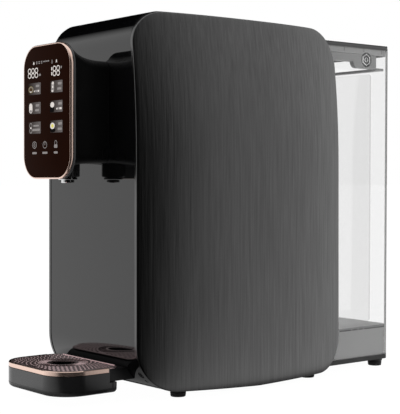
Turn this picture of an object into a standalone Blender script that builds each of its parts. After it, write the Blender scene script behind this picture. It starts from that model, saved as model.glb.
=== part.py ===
"""Countertop instant hot water dispenser with a clear lift-off tank behind.

Lengths are in metres. Every piece is drawn in one frame whose Y = 0 plane is the
glossy front panel, with +Y towards the tank, +X to the right of someone facing the
front and Z = 0 on the counter. The dispenser empty shifts that frame so that the
origin lies under the middle of the whole object.
"""
import math

import bmesh
import bpy
from mathutils import Matrix, Vector

# Clearances
GAP = 0.0003
SLIDE_GAP = 0.0005

# Body casing
BODY_TOP = 0.400
BODY_BACK = 0.262
FRONT_HALF_WIDTH = 0.0798
BASE_BOTTOM = 0.0086
PAN_THICKNESS = 0.0052
FRONT_WALL = 0.0025
COVER_WALL = 0.003
BACK_WALL = 0.0028
TOP_FRONT_ROUND = 0.034
TOP_BACK_ROUND = 0.045
BOTTOM_ROUND = 0.049
SEAM_ANGLE = math.radians(30)
LIP_ANGLE = math.radians(60)

# Side panels
PANEL_WALL = 0.004
PANEL_BULGE = 0.016
PANEL_FULLNESS = 2.4
PANEL_FRONT = -0.0005
PANEL_OVERHANG = 0.0255
PANEL_TOP_DROP = 0.0008
PANEL_BOTTOM = 0.0045
PANEL_BOTTOM_FRONT = 0.0105
PANEL_BOTTOM_BACK = 0.0072
PANEL_BOTTOM_LOW_Y = 0.150
PANEL_REAR_FLARE = 0.0016
PANEL_LEAN = 0.0118
PANEL_LEAN_DROP = 0.155
CORNER_TOP_FRONT = 0.035
CORNER_TOP_BACK = 0.044
CORNER_BOTTOM_FRONT = 0.0485
CORNER_BOTTOM_BACK = 0.040

# Feet
FOOT_RADIUS = 0.009
FOOT_TAPER = 0.001
FRONT_FOOT_Y = 0.0595
MIDDLE_FOOT_SETBACK = 0.015
REAR_FOOT_SETBACK = 0.0187
FOOT_X = 0.0745
REAR_FOOT_INSET = 0.010

# Filter hatch in the top cover
HATCH_FRONT = 0.060
HATCH_AXIS_Y = 0.205
HATCH_HALF_WIDTH = 0.066
BARREL_RADIUS = 0.0025
BARREL_SWEEP = 0.0005
PIN_RADIUS = 0.001
PIN_CLEARANCE = 0.0003
LUG_WIDTH = 0.006
LUG_REACH = 0.004

# Touch head
HEAD_REACH = 0.0555
HEAD_HEIGHT = 0.136
HEAD_TOP_DROP = 0.035
GLASS_HALF_WIDTH = 0.0442
GLASS_CORNER = 0.0225
GLASS_THICKNESS = 0.002
BEZEL_WIDTH = 0.0017
BEZEL_DEPTH = 0.004
BEZEL_CHAMFER = 0.0006
BOARD_THICKNESS = 0.0016
BOARD_MARGIN = 0.004
HEAD_BACK_DEPTH = 0.0032
HEAD_BACK_INSET = 0.0004
CABLE_HOLE_HALF = 0.018
CABLE_HOLE_RISE = 0.021
CABLE_HOLE_HEIGHT = 0.040

# Neck between the head and the front panel
NECK_WALL = 0.0025
NECK_RISE = 0.0145
NECK_TOP_DROP = 0.015
NECK_HALF_WIDTH = 0.035
NECK_FLARE = 0.006
NECK_FLARE_TOP = 0.012
NECK_FLARE_BOTTOM = 0.004
NECK_CORNER = 0.010

# Tap
TAP_Y = -0.0291
TAP_RADIUS = 0.0128
TAP_HEIGHT = 0.033
TAP_CHAMFER = 0.0015
NOZZLE_RADIUS = 0.0103
NOZZLE_DROP = 0.006
NOZZLE_BORE = 0.004
NOZZLE_STEM_RADIUS = 0.009
NOZZLE_STEM = 0.011
NOZZLE_TIP_RADIUS = 0.0071
NOZZLE_TIP = 0.003
SPIGOT_RADIUS = 0.004
SPIGOT_LENGTH = 0.006
HOSE_RADIUS = 0.004
HOSE_LEAD = 0.010
HOSE_BEND = 0.012
TAP_HOSE_RISE = 0.027

# Drip tray
TRAY_REACH = 0.078
TRAY_HALF_WIDTH = 0.061
TRAY_FRONT_CORNER = 0.032
TRAY_BACK_CORNER = 0.003
TRAY_BOTTOM = 0.0099
TRAY_TOP = 0.0356
TRAY_LEDGE_BACK = -0.0075
TRAY_WALL = 0.0032
TRAY_FLOOR = 0.0025
TRAY_BOTTOM_ROUND = 0.0045
TRAY_PAD_RADIUS = 0.003
TRAY_PAD_HEIGHT = 0.0017
TRAY_PAD_X = 0.036
TRAY_PAD_Y = -0.062
RIM_WIDTH = 0.0022
TRIM_HEIGHT = 0.0048
TRIM_DEPTH = 0.0010
TRIM_END = -0.0185
GRILLE_THICKNESS = 0.0016
GRILLE_BACK = -0.003
GRILLE_CENTER_Y = -0.035
GRILLE_HOLE = 0.0145
SLOT_COUNT = 24
SLOT_WIDTH = 0.0016
SLOT_INNER = 0.0168
SLOT_OUTER = 0.0268
BRACKET_HALF_WIDTH = 0.0575
BRACKET_REACH = 0.017
BRACKET_BOTTOM = 0.021
BRACKET_HEIGHT = 0.0125

# Drain fittings in the curved lower front
DRAIN_X = 0.0759
DRAIN_ANGLE = math.radians(38.7)
DRAIN_RADIUS = 0.0037
DRAIN_LENGTH = 0.006
SCREW_X = 0.0770
SCREW_ANGLE = math.radians(49)
SCREW_RADIUS = 0.002
SCREW_LENGTH = 0.008
FITTING_RECESS = 0.0004

# Tank
TANK_SIDE_GAP = 0.0005
TANK_CLEARANCE = 0.0006
TANK_DEPTH = 0.1276
TANK_TAPER = 0.003
TANK_TOP_DROP = 0.0163
TANK_WALL = 0.0025
TANK_FLOOR = 0.0025
TANK_FRONT_CORNER = 0.006
TANK_BACK_CORNER = 0.010
PEDESTAL_TOP = 0.0475
PEDESTAL_WALL = 0.0025
RECESS_HALF_WIDTH = 0.0415
RECESS_TOP_DROP = 0.0262
RECESS_DEPTH = 0.0011
LID_THICKNESS = 0.0043
LID_CHAMFER = 0.00125
LID_TOP_ROUND = 0.0020
COLLAR_DEPTH = 0.007
COLLAR_WALL = 0.0022
EAR_INSET = 0.014
EAR_WIDTH = 0.006
LID_PIN_REACH = 0.004

# Return fitting and its block inside the tank
BLOCK_WIDTH = 0.0062
BLOCK_SETBACK = 0.0064
BLOCK_STEP = 0.0396
BLOCK_BACK_ROOM = 0.0247
BLOCK_DROP = 0.0093
BLOCK_DEEP_DROP = 0.0165
BLOCK_FILLET = 0.008
FITTING_SETBACK = 0.0168
FITTING_DROP = 0.0058
FITTING_RADIUS = 0.0085
FITTING_POCKET = 0.004
FITTING_FLANGE = 0.0015
HEX_RADIUS = 0.0070
HEX_BORE = 0.0030
FRAME_THICKNESS = 0.0029
FRAME_RAIL = 0.008
FRAME_RISE = 0.0018
FRAME_MARGIN = 0.0025
FRAME_BACK_MARGIN = 0.007

# Outlet valve in the tank floor and its seat in the pedestal
OUTLET_SETBACK = 0.0554
VALVE_RADIUS = 0.0097
VALVE_BORE = 0.006
VALVE_FLANGE = 0.014
VALVE_CAP = 0.002
VALVE_DROP = 0.0134
VALVE_SEAT_RADIUS = 0.0040
VALVE_SEAT_HEIGHT = 0.002
VALVE_GUIDE = 0.0026
WATER_WINDOW = 0.0012
POPPET_RADIUS = 0.0054
POPPET_THICKNESS = 0.002
POPPET_STEM = 0.002
POPPET_LIFT = 0.003
POPPET_STEM_DROP = 0.0060
POPPET_GUIDE_LENGTH = 0.010
RING_GROOVE_DEPTH = 0.0015
RING_GROOVE_WIDTH = 0.003
RING_WIRE = 0.0008
SPRING_RADIUS = 0.0040
SPRING_WIRE = 0.0004
SPRING_TURNS = 3
SEAT_WALL = 0.0023
SEAT_FLOOR = 0.002
SEAT_BORE = 0.0102
SEAT_DEPTH = 0.018
SEAT_HOSE_DROP = 0.0146

# Inner frame and filters
FRAME_Y = 0.078
FRAME_PLATE = 0.003
FRAME_HALF_WIDTH = 0.078
FRAME_TOP_DROP = 0.030
CARTRIDGE_X = 0.033
CARTRIDGE_Y = 0.125
CARTRIDGE_RADIUS = 0.031
CARTRIDGE_TOP_DROP = 0.0297
CARTRIDGE_DOME = 0.008
CARTRIDGE_NECK = 0.0137
CARTRIDGE_NECK_LENGTH = 0.0175
GRIP_HEIGHT = 0.012
GRIP_HALF_LENGTH = 0.022
GRIP_HALF_WIDTH = 0.004
MANIFOLD_BOTTOM = 0.118
MANIFOLD_HEIGHT = 0.030
MANIFOLD_HALF_WIDTH = 0.072
MANIFOLD_BACK = 0.160
SOCKET_DEPTH = 0.020

# Pumps
PUMP_X = -0.038
PUMP_Z = 0.055
PUMP_FRONT = 0.096
PUMP_HEAD_RADIUS = 0.028
PUMP_HEAD_LENGTH = 0.044
PUMP_CAVITY_RADIUS = 0.020
PUMP_CAVITY_DEPTH = 0.020
MOTOR_RADIUS = 0.026
MOTOR_LENGTH = 0.085
SHAFT_RADIUS = 0.0032
ECCENTRIC_RADIUS = 0.012
ECCENTRIC_OFFSET = 0.003
ECCENTRIC_WIDTH = 0.006
CRADLE_HALF_WIDTH = 0.024
CRADLE_BASE = 0.0025
CRADLE_RIB = 0.006
CRADLE_MARGIN = 0.012
DELIVERY_X = 0.040
DELIVERY_SETBACK = 0.020
DELIVERY_HALF = 0.018
DELIVERY_HEIGHT = 0.045
DELIVERY_HOSE_Z = 0.036

# Pure water box
BOX_HALF_WIDTH = 0.066
BOX_FRONT = 0.180
BOX_BOTTOM = 0.110
BOX_TOP_DROP = 0.045
BOX_WALL = 0.0025
BOX_CORNER = 0.010
BOX_NECK_HALF = 0.016
BOX_NECK_HEIGHT = 0.010

# Instant heater and power board
HEATER_X = 0.035
HEATER_Y = 0.040
HEATER_BOTTOM = 0.060
HEATER_HEADROOM = 0.056
HEATER_RADIUS = 0.020
HEATER_DOME = 0.006
CLAMP_HALF_WIDTH = 0.015
CLAMP_BOTTOM = 0.110
CLAMP_HEIGHT = 0.040
CLAMP_GRIP = 0.010
POWER_LEFT = -0.072
POWER_RIGHT = -0.006
POWER_BOTTOM = 0.040
POWER_HEIGHT = 0.140
STANDOFF = 0.0024
STANDOFF_HALF = 0.003
STANDOFF_INSET = 0.008
TRANSFORMER = (0.030, 0.020, 0.026)
CAPACITOR = (0.012, 0.016, 0.022)
HEAT_SINK = (0.010, 0.024, 0.040)

# Mains cord gland under the base
GLAND_X = -0.076
GLAND_Y = 0.150
GLAND_RADIUS = 0.0055
GLAND_FLANGE = 0.0085
GLAND_DROP = 0.004
GLAND_RISE = 0.006

# Places that follow from the sizes above
PAN_TOP = BASE_BOTTOM + PAN_THICKNESS
PANEL_TOP = BODY_TOP - PANEL_TOP_DROP
PANEL_BACK = BODY_BACK + PANEL_OVERHANG
LEAN_START = PANEL_TOP - PANEL_LEAN_DROP
TOP_FRONT_CENTER = (TOP_FRONT_ROUND, BODY_TOP - TOP_FRONT_ROUND)
TOP_BACK_CENTER = (PANEL_BACK - CORNER_TOP_BACK, BODY_TOP - TOP_BACK_ROUND)
BOTTOM_CENTER = (BOTTOM_ROUND, BASE_BOTTOM + BOTTOM_ROUND)
BRACKET_LOW_ANGLE = math.asin((BOTTOM_CENTER[1] - BRACKET_BOTTOM) / (BOTTOM_ROUND + GAP))
BRACKET_HIGH_ANGLE = math.asin((BOTTOM_CENTER[1] - BRACKET_BOTTOM - BRACKET_HEIGHT) / (BOTTOM_ROUND + GAP))
HATCH_AXIS_Z = BODY_TOP - BARREL_RADIUS
HEAD_BOTTOM = BODY_TOP - HEAD_TOP_DROP - HEAD_HEIGHT
CABLE_HOLE_BOTTOM = HEAD_BOTTOM + CABLE_HOLE_RISE
CABLE_HOLE_TOP = CABLE_HOLE_BOTTOM + CABLE_HOLE_HEIGHT
NECK_BOTTOM = HEAD_BOTTOM + NECK_RISE
NECK_TOP = HEAD_BOTTOM + HEAD_HEIGHT - NECK_TOP_DROP
TAP_BOTTOM = HEAD_BOTTOM
TAP_TOP = TAP_BOTTOM + TAP_HEIGHT
TAP_HOSE_Z = TAP_BOTTOM + TAP_HOSE_RISE
HEATER_HEIGHT = TAP_HOSE_Z - HEATER_HEADROOM - HEATER_BOTTOM
HEAD_BACK_FRONT = -HEAD_REACH + BEZEL_DEPTH + GAP
NECK_FRONT = HEAD_BACK_FRONT + HEAD_BACK_DEPTH + GAP
TANK_FRONT = BODY_BACK + TANK_CLEARANCE
TANK_BACK = TANK_FRONT + TANK_DEPTH
FRONT_SHIFT = (TRAY_REACH - TANK_BACK) / 2
MIDDLE_FOOT_Y = BODY_BACK - MIDDLE_FOOT_SETBACK
REAR_FOOT_Y = TANK_BACK - REAR_FOOT_SETBACK
OUTLET_Y = TANK_FRONT + OUTLET_SETBACK
BLOCK_FRONT = TANK_FRONT + BLOCK_SETBACK
BLOCK_BACK = TANK_BACK - BLOCK_BACK_ROOM
BLOCK_STEP_Y = BLOCK_BACK - BLOCK_STEP
FITTING_Y = BLOCK_BACK - FITTING_SETBACK
FRAME_FRONT = BLOCK_BACK + GAP
TANK_TOP = BODY_TOP - TANK_TOP_DROP
RECESS_TOP = TANK_TOP - RECESS_TOP_DROP
TANK_SKIRT = PAN_TOP + GAP
TANK_FLOOR_TOP = PEDESTAL_TOP + GAP + TANK_FLOOR
LID_BOTTOM = TANK_TOP + GAP
LID_AXIS_Z = LID_BOTTOM + LID_THICKNESS / 2
LID_AXIS_Y = TANK_FRONT + LID_THICKNESS / 2
COLLAR_TOP = TANK_TOP - GAP / 3
COLLAR_BOTTOM = COLLAR_TOP - COLLAR_DEPTH
BLOCK_TOP = COLLAR_BOTTOM - GAP
FITTING_Z = BLOCK_TOP - FITTING_DROP
VALVE_FLANGE_BOTTOM = TANK_FLOOR_TOP + GAP
VALVE_BOTTOM = VALVE_FLANGE_BOTTOM - VALVE_DROP
POPPET_CLOSED = VALVE_BOTTOM + VALVE_SEAT_HEIGHT + GAP
POPPET_OPEN = POPPET_CLOSED + POPPET_LIFT
STEM_BOTTOM = POPPET_OPEN - POPPET_STEM_DROP
SEAT_TOP = PEDESTAL_TOP - GAP
SEAT_BOTTOM = SEAT_TOP - SEAT_DEPTH - SEAT_FLOOR
SEAT_RADIUS = SEAT_BORE + SEAT_WALL
SEAT_HOSE_Z = SEAT_TOP - SEAT_HOSE_DROP
FRAME_BACK = FRAME_Y + FRAME_PLATE
FRAME_TOP = BODY_TOP - FRAME_TOP_DROP
MANIFOLD_TOP = MANIFOLD_BOTTOM + MANIFOLD_HEIGHT
CARTRIDGE_HEIGHT = BODY_TOP - CARTRIDGE_TOP_DROP - GRIP_HEIGHT - MANIFOLD_TOP - GAP
MOTOR_FRONT = PUMP_FRONT + PUMP_HEAD_LENGTH + GAP
PUMP_TOP = PUMP_Z + PUMP_HEAD_RADIUS
DELIVERY_Y = BOX_FRONT + DELIVERY_SETBACK
DELIVERY_TOP = PAN_TOP + GAP + DELIVERY_HEIGHT
BOX_HEIGHT = BODY_TOP - BOX_TOP_DROP - BOX_NECK_HEIGHT - BOX_BOTTOM
BOX_BACK = BODY_BACK - BACK_WALL - GAP


def clear_scene():
    """Remove whatever the open file shows."""
    for item in list(bpy.data.objects):
        bpy.data.objects.remove(item, do_unlink=True)


def material(name, color, roughness, metallic=0.0, alpha=1.0):
    """A plain Principled material of one colour."""
    shade = bpy.data.materials.new(name)
    shade.use_nodes = True
    shader = shade.node_tree.nodes["Principled BSDF"]
    shader.inputs["Base Color"].default_value = (*color, 1.0)
    shader.inputs["Roughness"].default_value = roughness
    shader.inputs["Metallic"].default_value = metallic
    shader.inputs["Alpha"].default_value = alpha
    shade.diffuse_color = (*color, alpha)
    return shade


def carrier(name, place, parent=None):
    """An empty on a joint's axis, given in the front panel's frame."""
    empty = bpy.data.objects.new(name, None)
    bpy.context.scene.collection.objects.link(empty)
    empty.empty_display_size = 0.01
    empty["place"] = place
    if parent is None:
        empty.location = place
        return empty
    empty.parent = parent
    empty.location = Vector(place) - Vector(parent["place"])
    return empty


def piece(name, body, shade, parent):
    """Turn mesh data drawn in the front panel's frame into a named object."""
    bmesh.ops.translate(body, verts=body.verts, vec=-Vector(parent["place"]))
    mesh = bpy.data.meshes.new(name)
    body.to_mesh(mesh)
    body.free()
    mesh.materials.append(shade)
    mesh.shade_smooth()
    mesh.set_sharp_from_angle(angle=math.radians(35))
    item = bpy.data.objects.new(name, mesh)
    bpy.context.scene.collection.objects.link(item)
    item.parent = parent
    return item


def combine(item, body, operation, label):
    """Add, cut or keep a volume on an item with a hidden helper shape."""
    helper = piece(item.name + "_" + label, body, item.data.materials[0], item.parent)
    helper.hide_render = True
    helper.display_type = "WIRE"
    step = item.modifiers.new(label, "BOOLEAN")
    step.operation = operation
    step.solver = "EXACT"
    step.object = helper


def cut(item, body, label):
    combine(item, body, "DIFFERENCE", label)


def add(item, body, label):
    combine(item, body, "UNION", label)


def merged(bodies):
    """Several closed bodies in one helper mesh."""
    whole = bmesh.new()
    for body in bodies:
        mesh = bpy.data.meshes.new("part_of_helper")
        body.to_mesh(mesh)
        body.free()
        whole.from_mesh(mesh)
        bpy.data.meshes.remove(mesh)
    return whole


def loft(rings, closed=False):
    """Skin rings of equally many points; closed joins the last ring to the first."""
    body = bmesh.new()
    rows = [[body.verts.new(point) for point in ring] for ring in rings]
    following = rows[1:] + rows[:1] if closed else rows[1:]
    for low, high in zip(rows, following):
        for index in range(len(low)):
            after = (index + 1) % len(low)
            body.faces.new((low[index], low[after], high[after], high[index]))
    if not closed:
        body.faces.new(rows[0])
        body.faces.new(rows[-1])
    bmesh.ops.recalc_face_normals(body, faces=body.faces)
    return body


def spread(outline, along, axis):
    """Place a flat outline square to an axis, at one height along it."""
    if axis == "X":
        return [(along, a, b) for a, b in outline]
    if axis == "Y":
        return [(a, along, b) for a, b in outline]
    return [(a, b, along) for a, b in outline]


def prism(outline, low, high, axis="Z"):
    return loft([spread(outline, low, axis), spread(outline, high, axis)])


def box(low, high):
    corners = [(low[0], low[1]), (high[0], low[1]), (high[0], high[1]), (low[0], high[1])]
    return prism(corners, low[2], high[2])


def ring_frame(outer, inner, low, high, axis="Z"):
    """A closed frame between two outlines of equally many points."""
    rings = [spread(outer, low, axis), spread(outer, high, axis)]
    rings += [spread(inner, high, axis), spread(inner, low, axis)]
    return loft(rings, closed=True)


def arc(center, radius, start, end, steps):
    """Points on an arc, angles in radians from the first axis."""
    points = []
    for index in range(steps + 1):
        angle = start + (end - start) * index / steps
        points.append((center[0] + radius * math.cos(angle), center[1] + radius * math.sin(angle)))
    return points


def rounded(corners, steps=5):
    """A closed outline through corners (a, b, radius), each rounded by an arc."""
    points = []
    for index, (a, b, radius) in enumerate(corners):
        here = Vector((a, b))
        to_before = (Vector(corners[index - 1][:2]) - here).normalized()
        to_after = (Vector(corners[(index + 1) % len(corners)][:2]) - here).normalized()
        half = to_before.angle(to_after) / 2
        center = here + (to_before + to_after).normalized() * (radius / math.sin(half))
        first = here + to_before * (radius / math.tan(half)) - center
        last = here + to_after * (radius / math.tan(half)) - center
        start = math.atan2(first.y, first.x)
        turn = math.atan2(last.y, last.x) - start
        turn = (turn + math.pi) % (2 * math.pi) - math.pi
        points += arc(center, radius, start, start + turn, steps)
    return points


def rounded_box(low_a, high_a, low_b, high_b, radius, steps=5):
    corners = [(low_a, low_b, radius), (high_a, low_b, radius)]
    corners += [(high_a, high_b, radius), (low_a, high_b, radius)]
    return rounded(corners, steps)


def turned(profile, origin, direction=(0, 0, 1), steps=24, hollow=False):
    """Turn a profile of (radius, distance along the axis) about an axis."""
    rings = []
    for radius, along in profile:
        ring = []
        for index in range(steps):
            angle = 2 * math.pi * index / steps
            ring.append((radius * math.cos(angle), radius * math.sin(angle), along))
        rings.append(ring)
    body = loft(rings, closed=hollow)
    tilt = Vector((0, 0, 1)).rotation_difference(Vector(direction)).to_matrix().to_4x4()
    body.transform(Matrix.Translation(Vector(origin)) @ tilt)
    return body


def rod(radius, start, end, steps=16):
    """A plain round bar between two points."""
    reach = Vector(end) - Vector(start)
    return turned([(radius, 0.0), (radius, reach.length)], start, reach.normalized(), steps)


def smooth_route(route, steps):
    """Points of a Catmull-Rom curve through a route whose end stretches stay straight."""
    knots = [Vector(point) for point in route]
    points = knots[:1]
    for index in range(1, len(knots) - 2):
        a, b, c, d = knots[index - 1:index + 3]
        for step in range(steps):
            t = step / steps
            linear = (c - a) * t
            square = (2 * a - 5 * b + 4 * c - d) * t * t
            cube = (3 * b - a - 3 * c + d) * t * t * t
            points.append((2 * b + linear + square + cube) / 2)
    points += knots[max(1, len(knots) - 2):]
    return points


def tube(name, route, radius, shade, parent, steps=4, sides_level=2):
    """A hose or wire along a route, square to what it meets at both ends."""
    curve = bpy.data.curves.new(name, "CURVE")
    curve.dimensions = "3D"
    curve.bevel_depth = radius
    curve.bevel_resolution = sides_level
    curve.use_fill_caps = True
    points = smooth_route(route, steps)
    spline = curve.splines.new("POLY")
    spline.points.add(len(points) - 1)
    for knot, point in zip(spline.points, points):
        knot.co = (*(point - Vector(parent["place"])), 1.0)
    curve.materials.append(shade)
    item = bpy.data.objects.new(name, curve)
    bpy.context.scene.collection.objects.link(item)
    item.parent = parent
    return item


def panel_lean(z):
    """How far the side has leaned in at a height near the top."""
    return PANEL_LEAN * max(0.0, (z - LEAN_START) / PANEL_LEAN_DROP) ** 2


def panel_inside(y, z):
    """Distance from the middle plane to the inner face of a side panel."""
    half = (PANEL_BACK - PANEL_FRONT) / 2
    share = abs((y - PANEL_FRONT) / half - 1)
    bulge = PANEL_BULGE * (1 - share ** PANEL_FULLNESS)
    flare = PANEL_REAR_FLARE * (y - PANEL_FRONT) / (2 * half)
    return FRONT_HALF_WIDTH + GAP + bulge + flare - panel_lean(z)


def casing_half_width(y, z):
    """Half width of a casing piece that fits between the side panels."""
    return panel_inside(y, z) - GAP


def room_between_panels():
    """Half the room beside the tank, where the panels' rear corners lean in most."""
    center = (PANEL_BACK - CORNER_TOP_BACK, PANEL_TOP - CORNER_TOP_BACK)
    corner = arc(center, CORNER_TOP_BACK, 0.0, math.pi / 2, 30)
    return min(panel_inside(y, z) for y, z in corner)


# Widths that follow from the room between the side panels
TANK_HALF_WIDTH = room_between_panels() - TANK_SIDE_GAP
REAR_FOOT_X = TANK_HALF_WIDTH - REAR_FOOT_INSET
EAR_X = TANK_HALF_WIDTH - EAR_INSET
BLOCK_OUTER_X = TANK_HALF_WIDTH - TANK_WALL - 2 * GAP
BLOCK_INNER_X = BLOCK_OUTER_X - BLOCK_WIDTH
SOCKET_FLOOR = BLOCK_OUTER_X - FITTING_POCKET


def strip_shell(outer, inner, half_width):
    """A bent sheet between two profile lines, carried across X to a half width."""
    rows = []
    for (y_out, z_out), (y_in, z_in) in zip(outer, inner):
        wide = half_width(y_out, z_out)
        narrow = half_width(y_in, z_in)
        rows.append([(-wide, y_out, z_out), (wide, y_out, z_out), (narrow, y_in, z_in), (-narrow, y_in, z_in)])
    return loft(rows)


def front_line(depth):
    """Profile of the front panel, at a depth below its outer face."""
    top = arc(TOP_FRONT_CENTER, TOP_FRONT_ROUND - depth, math.pi - SEAM_ANGLE, math.pi, 5)
    sides = [(depth, LEAN_START + PANEL_LEAN_DROP * share) for share in (0.6, 0.4, 0.2, 0.0)]
    lip = arc(BOTTOM_CENTER, BOTTOM_ROUND - depth, math.pi, math.pi + LIP_ANGLE, 8)
    return top + sides + lip


def cover_line(depth):
    """Profile of the top cover, from the seam over the top to the back."""
    seam = SEAM_ANGLE + GAP / TOP_FRONT_ROUND
    front = arc(TOP_FRONT_CENTER, TOP_FRONT_ROUND - depth, math.pi - seam, math.pi / 2, 6)
    first = TOP_FRONT_CENTER[0]
    last = TOP_BACK_CENTER[0]
    flat = [(first + (last - first) * step / 8, BODY_TOP - depth) for step in range(1, 8)]
    radius = TOP_BACK_ROUND - depth
    back = []
    for step in range(5):
        y = last + (BODY_BACK - last) * step / 4
        back.append((y, TOP_BACK_CENTER[1] + math.sqrt(radius ** 2 - (y - last) ** 2)))
    return front + flat + back


def pan_line(depth):
    """Profile of the base pan, from the front lip back to the tank's rear."""
    start = math.pi + LIP_ANGLE + GAP / BOTTOM_ROUND
    lip = arc(BOTTOM_CENTER, BOTTOM_ROUND - depth, start, 1.5 * math.pi, 5)
    first = BOTTOM_CENTER[0]
    level = BASE_BOTTOM + depth
    under_body = [(first + (BODY_BACK - first) * step / 8, level) for step in range(1, 9)]
    back = tank_back(BASE_BOTTOM)
    corner = back - TANK_BACK_CORNER
    under_tank = [(BODY_BACK + GAP, level), (corner, level)]
    for step in range(1, 6):
        angle = math.pi / 2 * step / 5
        under_tank.append((corner + TANK_BACK_CORNER * math.sin(angle), level))
    return lip + under_body + under_tank


def pan_half_width(y, z):
    if y <= BODY_BACK:
        return casing_half_width(y, z)
    corner = tank_back(BASE_BOTTOM) - TANK_BACK_CORNER
    past = min(max(0.0, y - corner), TANK_BACK_CORNER)
    return TANK_HALF_WIDTH - TANK_BACK_CORNER + math.sqrt(TANK_BACK_CORNER ** 2 - past ** 2)


def tank_back(z):
    """Rear face of the tank, which leans in towards the bottom."""
    share = (TANK_TOP - z) / (TANK_TOP - TANK_SKIRT)
    return TANK_BACK - TANK_TAPER * share


def tank_outline(z, inset, front_inset=None):
    """Plan of the tank at a height, drawn in by an inset."""
    front = TANK_FRONT + (inset if front_inset is None else front_inset)
    back = tank_back(z) - inset
    side = TANK_HALF_WIDTH - inset
    small = max(TANK_FRONT_CORNER - inset, GAP)
    large = max(TANK_BACK_CORNER - inset, GAP)
    corners = [(-side, front, small), (side, front, small), (side, back, large), (-side, back, large)]
    return rounded(corners)


def add_base(root, dark, rubber):
    """The pan that everything stands on, and its six feet."""
    shell = strip_shell(pan_line(0.0), pan_line(PAN_THICKNESS), pan_half_width)
    pan = piece("base_pan", shell, dark, root)
    gland_hole = rod(GLAND_RADIUS + GAP, (GLAND_X, GLAND_Y, 0.0), (GLAND_X, GLAND_Y, 2 * PAN_TOP))
    cut(pan, gland_hole, "gland_hole")
    rows = (("front", FOOT_X, FRONT_FOOT_Y), ("middle", FOOT_X, MIDDLE_FOOT_Y), ("rear", REAR_FOOT_X, REAR_FOOT_Y))
    for row, x, y in rows:
        for side, sign in (("left", -1), ("right", 1)):
            profile = [(FOOT_RADIUS - FOOT_TAPER, 0.0), (FOOT_RADIUS, BASE_BOTTOM - GAP)]
            foot = turned(profile, (sign * x, y, 0.0), steps=20)
            piece("foot_" + row + "_" + side, foot, rubber, root)
    profile = [(GLAND_RADIUS, BASE_BOTTOM - GLAND_DROP), (GLAND_RADIUS, PAN_TOP + GAP)]
    profile += [(GLAND_FLANGE, PAN_TOP + GAP), (GLAND_FLANGE, PAN_TOP + GLAND_RISE)]
    piece("cord_gland", turned(profile, (GLAND_X, GLAND_Y, 0.0), steps=16), rubber, root)


def lower_front_point(angle):
    """A point on the curved lower front, and the way it faces."""
    facing = Vector((0.0, -math.cos(angle), -math.sin(angle)))
    return Vector((0.0, *BOTTOM_CENTER)) + BOTTOM_ROUND * facing, facing


def add_front(root, gloss, rubber, steel):
    """The glossy front panel with its two small drain fittings."""
    shell = strip_shell(front_line(0.0), front_line(FRONT_WALL), casing_half_width)
    panel = piece("front_panel", shell, gloss, root)
    window_low = (-CABLE_HOLE_HALF, -FRONT_WALL, CABLE_HOLE_BOTTOM)
    window_high = (CABLE_HOLE_HALF, 2 * FRONT_WALL, CABLE_HOLE_TOP)
    cut(panel, box(window_low, window_high), "neck_window")
    fittings = (
        ("drain_plug", DRAIN_X, DRAIN_ANGLE, DRAIN_RADIUS, DRAIN_LENGTH, rubber),
        ("drain_screw", SCREW_X, SCREW_ANGLE, SCREW_RADIUS, SCREW_LENGTH, steel),
    )
    for name, x, angle, radius, length, shade in fittings:
        point, facing = lower_front_point(angle)
        point.x = x
        hole = rod(radius + GAP, point - 2 * length * facing, point + length * facing)
        cut(panel, hole, name + "_hole")
        face = point - FITTING_RECESS * facing
        holder = carrier(name + "_axis", tuple(face), root) if name == "drain_plug" else root
        piece(name, rod(radius, face - length * facing, face), shade, holder)


def panel_edge():
    """Outline of a side panel seen from the side."""
    slope_front = PANEL_BOTTOM_FRONT
    corners = [
        (PANEL_FRONT, slope_front, CORNER_BOTTOM_FRONT),
        (PANEL_BOTTOM_LOW_Y, PANEL_BOTTOM, 4 * CORNER_BOTTOM_FRONT),
        (PANEL_BACK, PANEL_BOTTOM_BACK, CORNER_BOTTOM_BACK),
        (PANEL_BACK, PANEL_TOP, CORNER_TOP_BACK),
        (PANEL_FRONT, PANEL_TOP, CORNER_TOP_FRONT),
    ]
    return rounded(corners, steps=7)


def add_side_panels(root, brushed):
    """Two bowed covers, each cut from a curved sheet by its rounded outline."""
    margin = 2 * PANEL_WALL
    heights = [PANEL_BOTTOM - margin]
    heights += [LEAN_START + (PANEL_LEAN_DROP + margin) * step / 7 for step in range(8)]
    stations = 20
    for side, sign in (("left", -1), ("right", 1)):
        rings = []
        for index in range(stations + 1):
            y = PANEL_FRONT - margin + (PANEL_BACK - PANEL_FRONT + 2 * margin) * index / stations
            inner = [(sign * panel_inside(y, z), y, z) for z in heights]
            outer = [(sign * (panel_inside(y, z) + PANEL_WALL), y, z) for z in reversed(heights)]
            rings.append(inner + outer)
        panel = piece("side_panel_" + side, loft(rings), brushed, root)
        reach = sign * 2 * (FRONT_HALF_WIDTH + PANEL_BULGE)
        edge = prism(panel_edge(), sign * PANEL_BULGE, reach, "X")
        combine(panel, edge, "INTERSECT", "outline")


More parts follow.
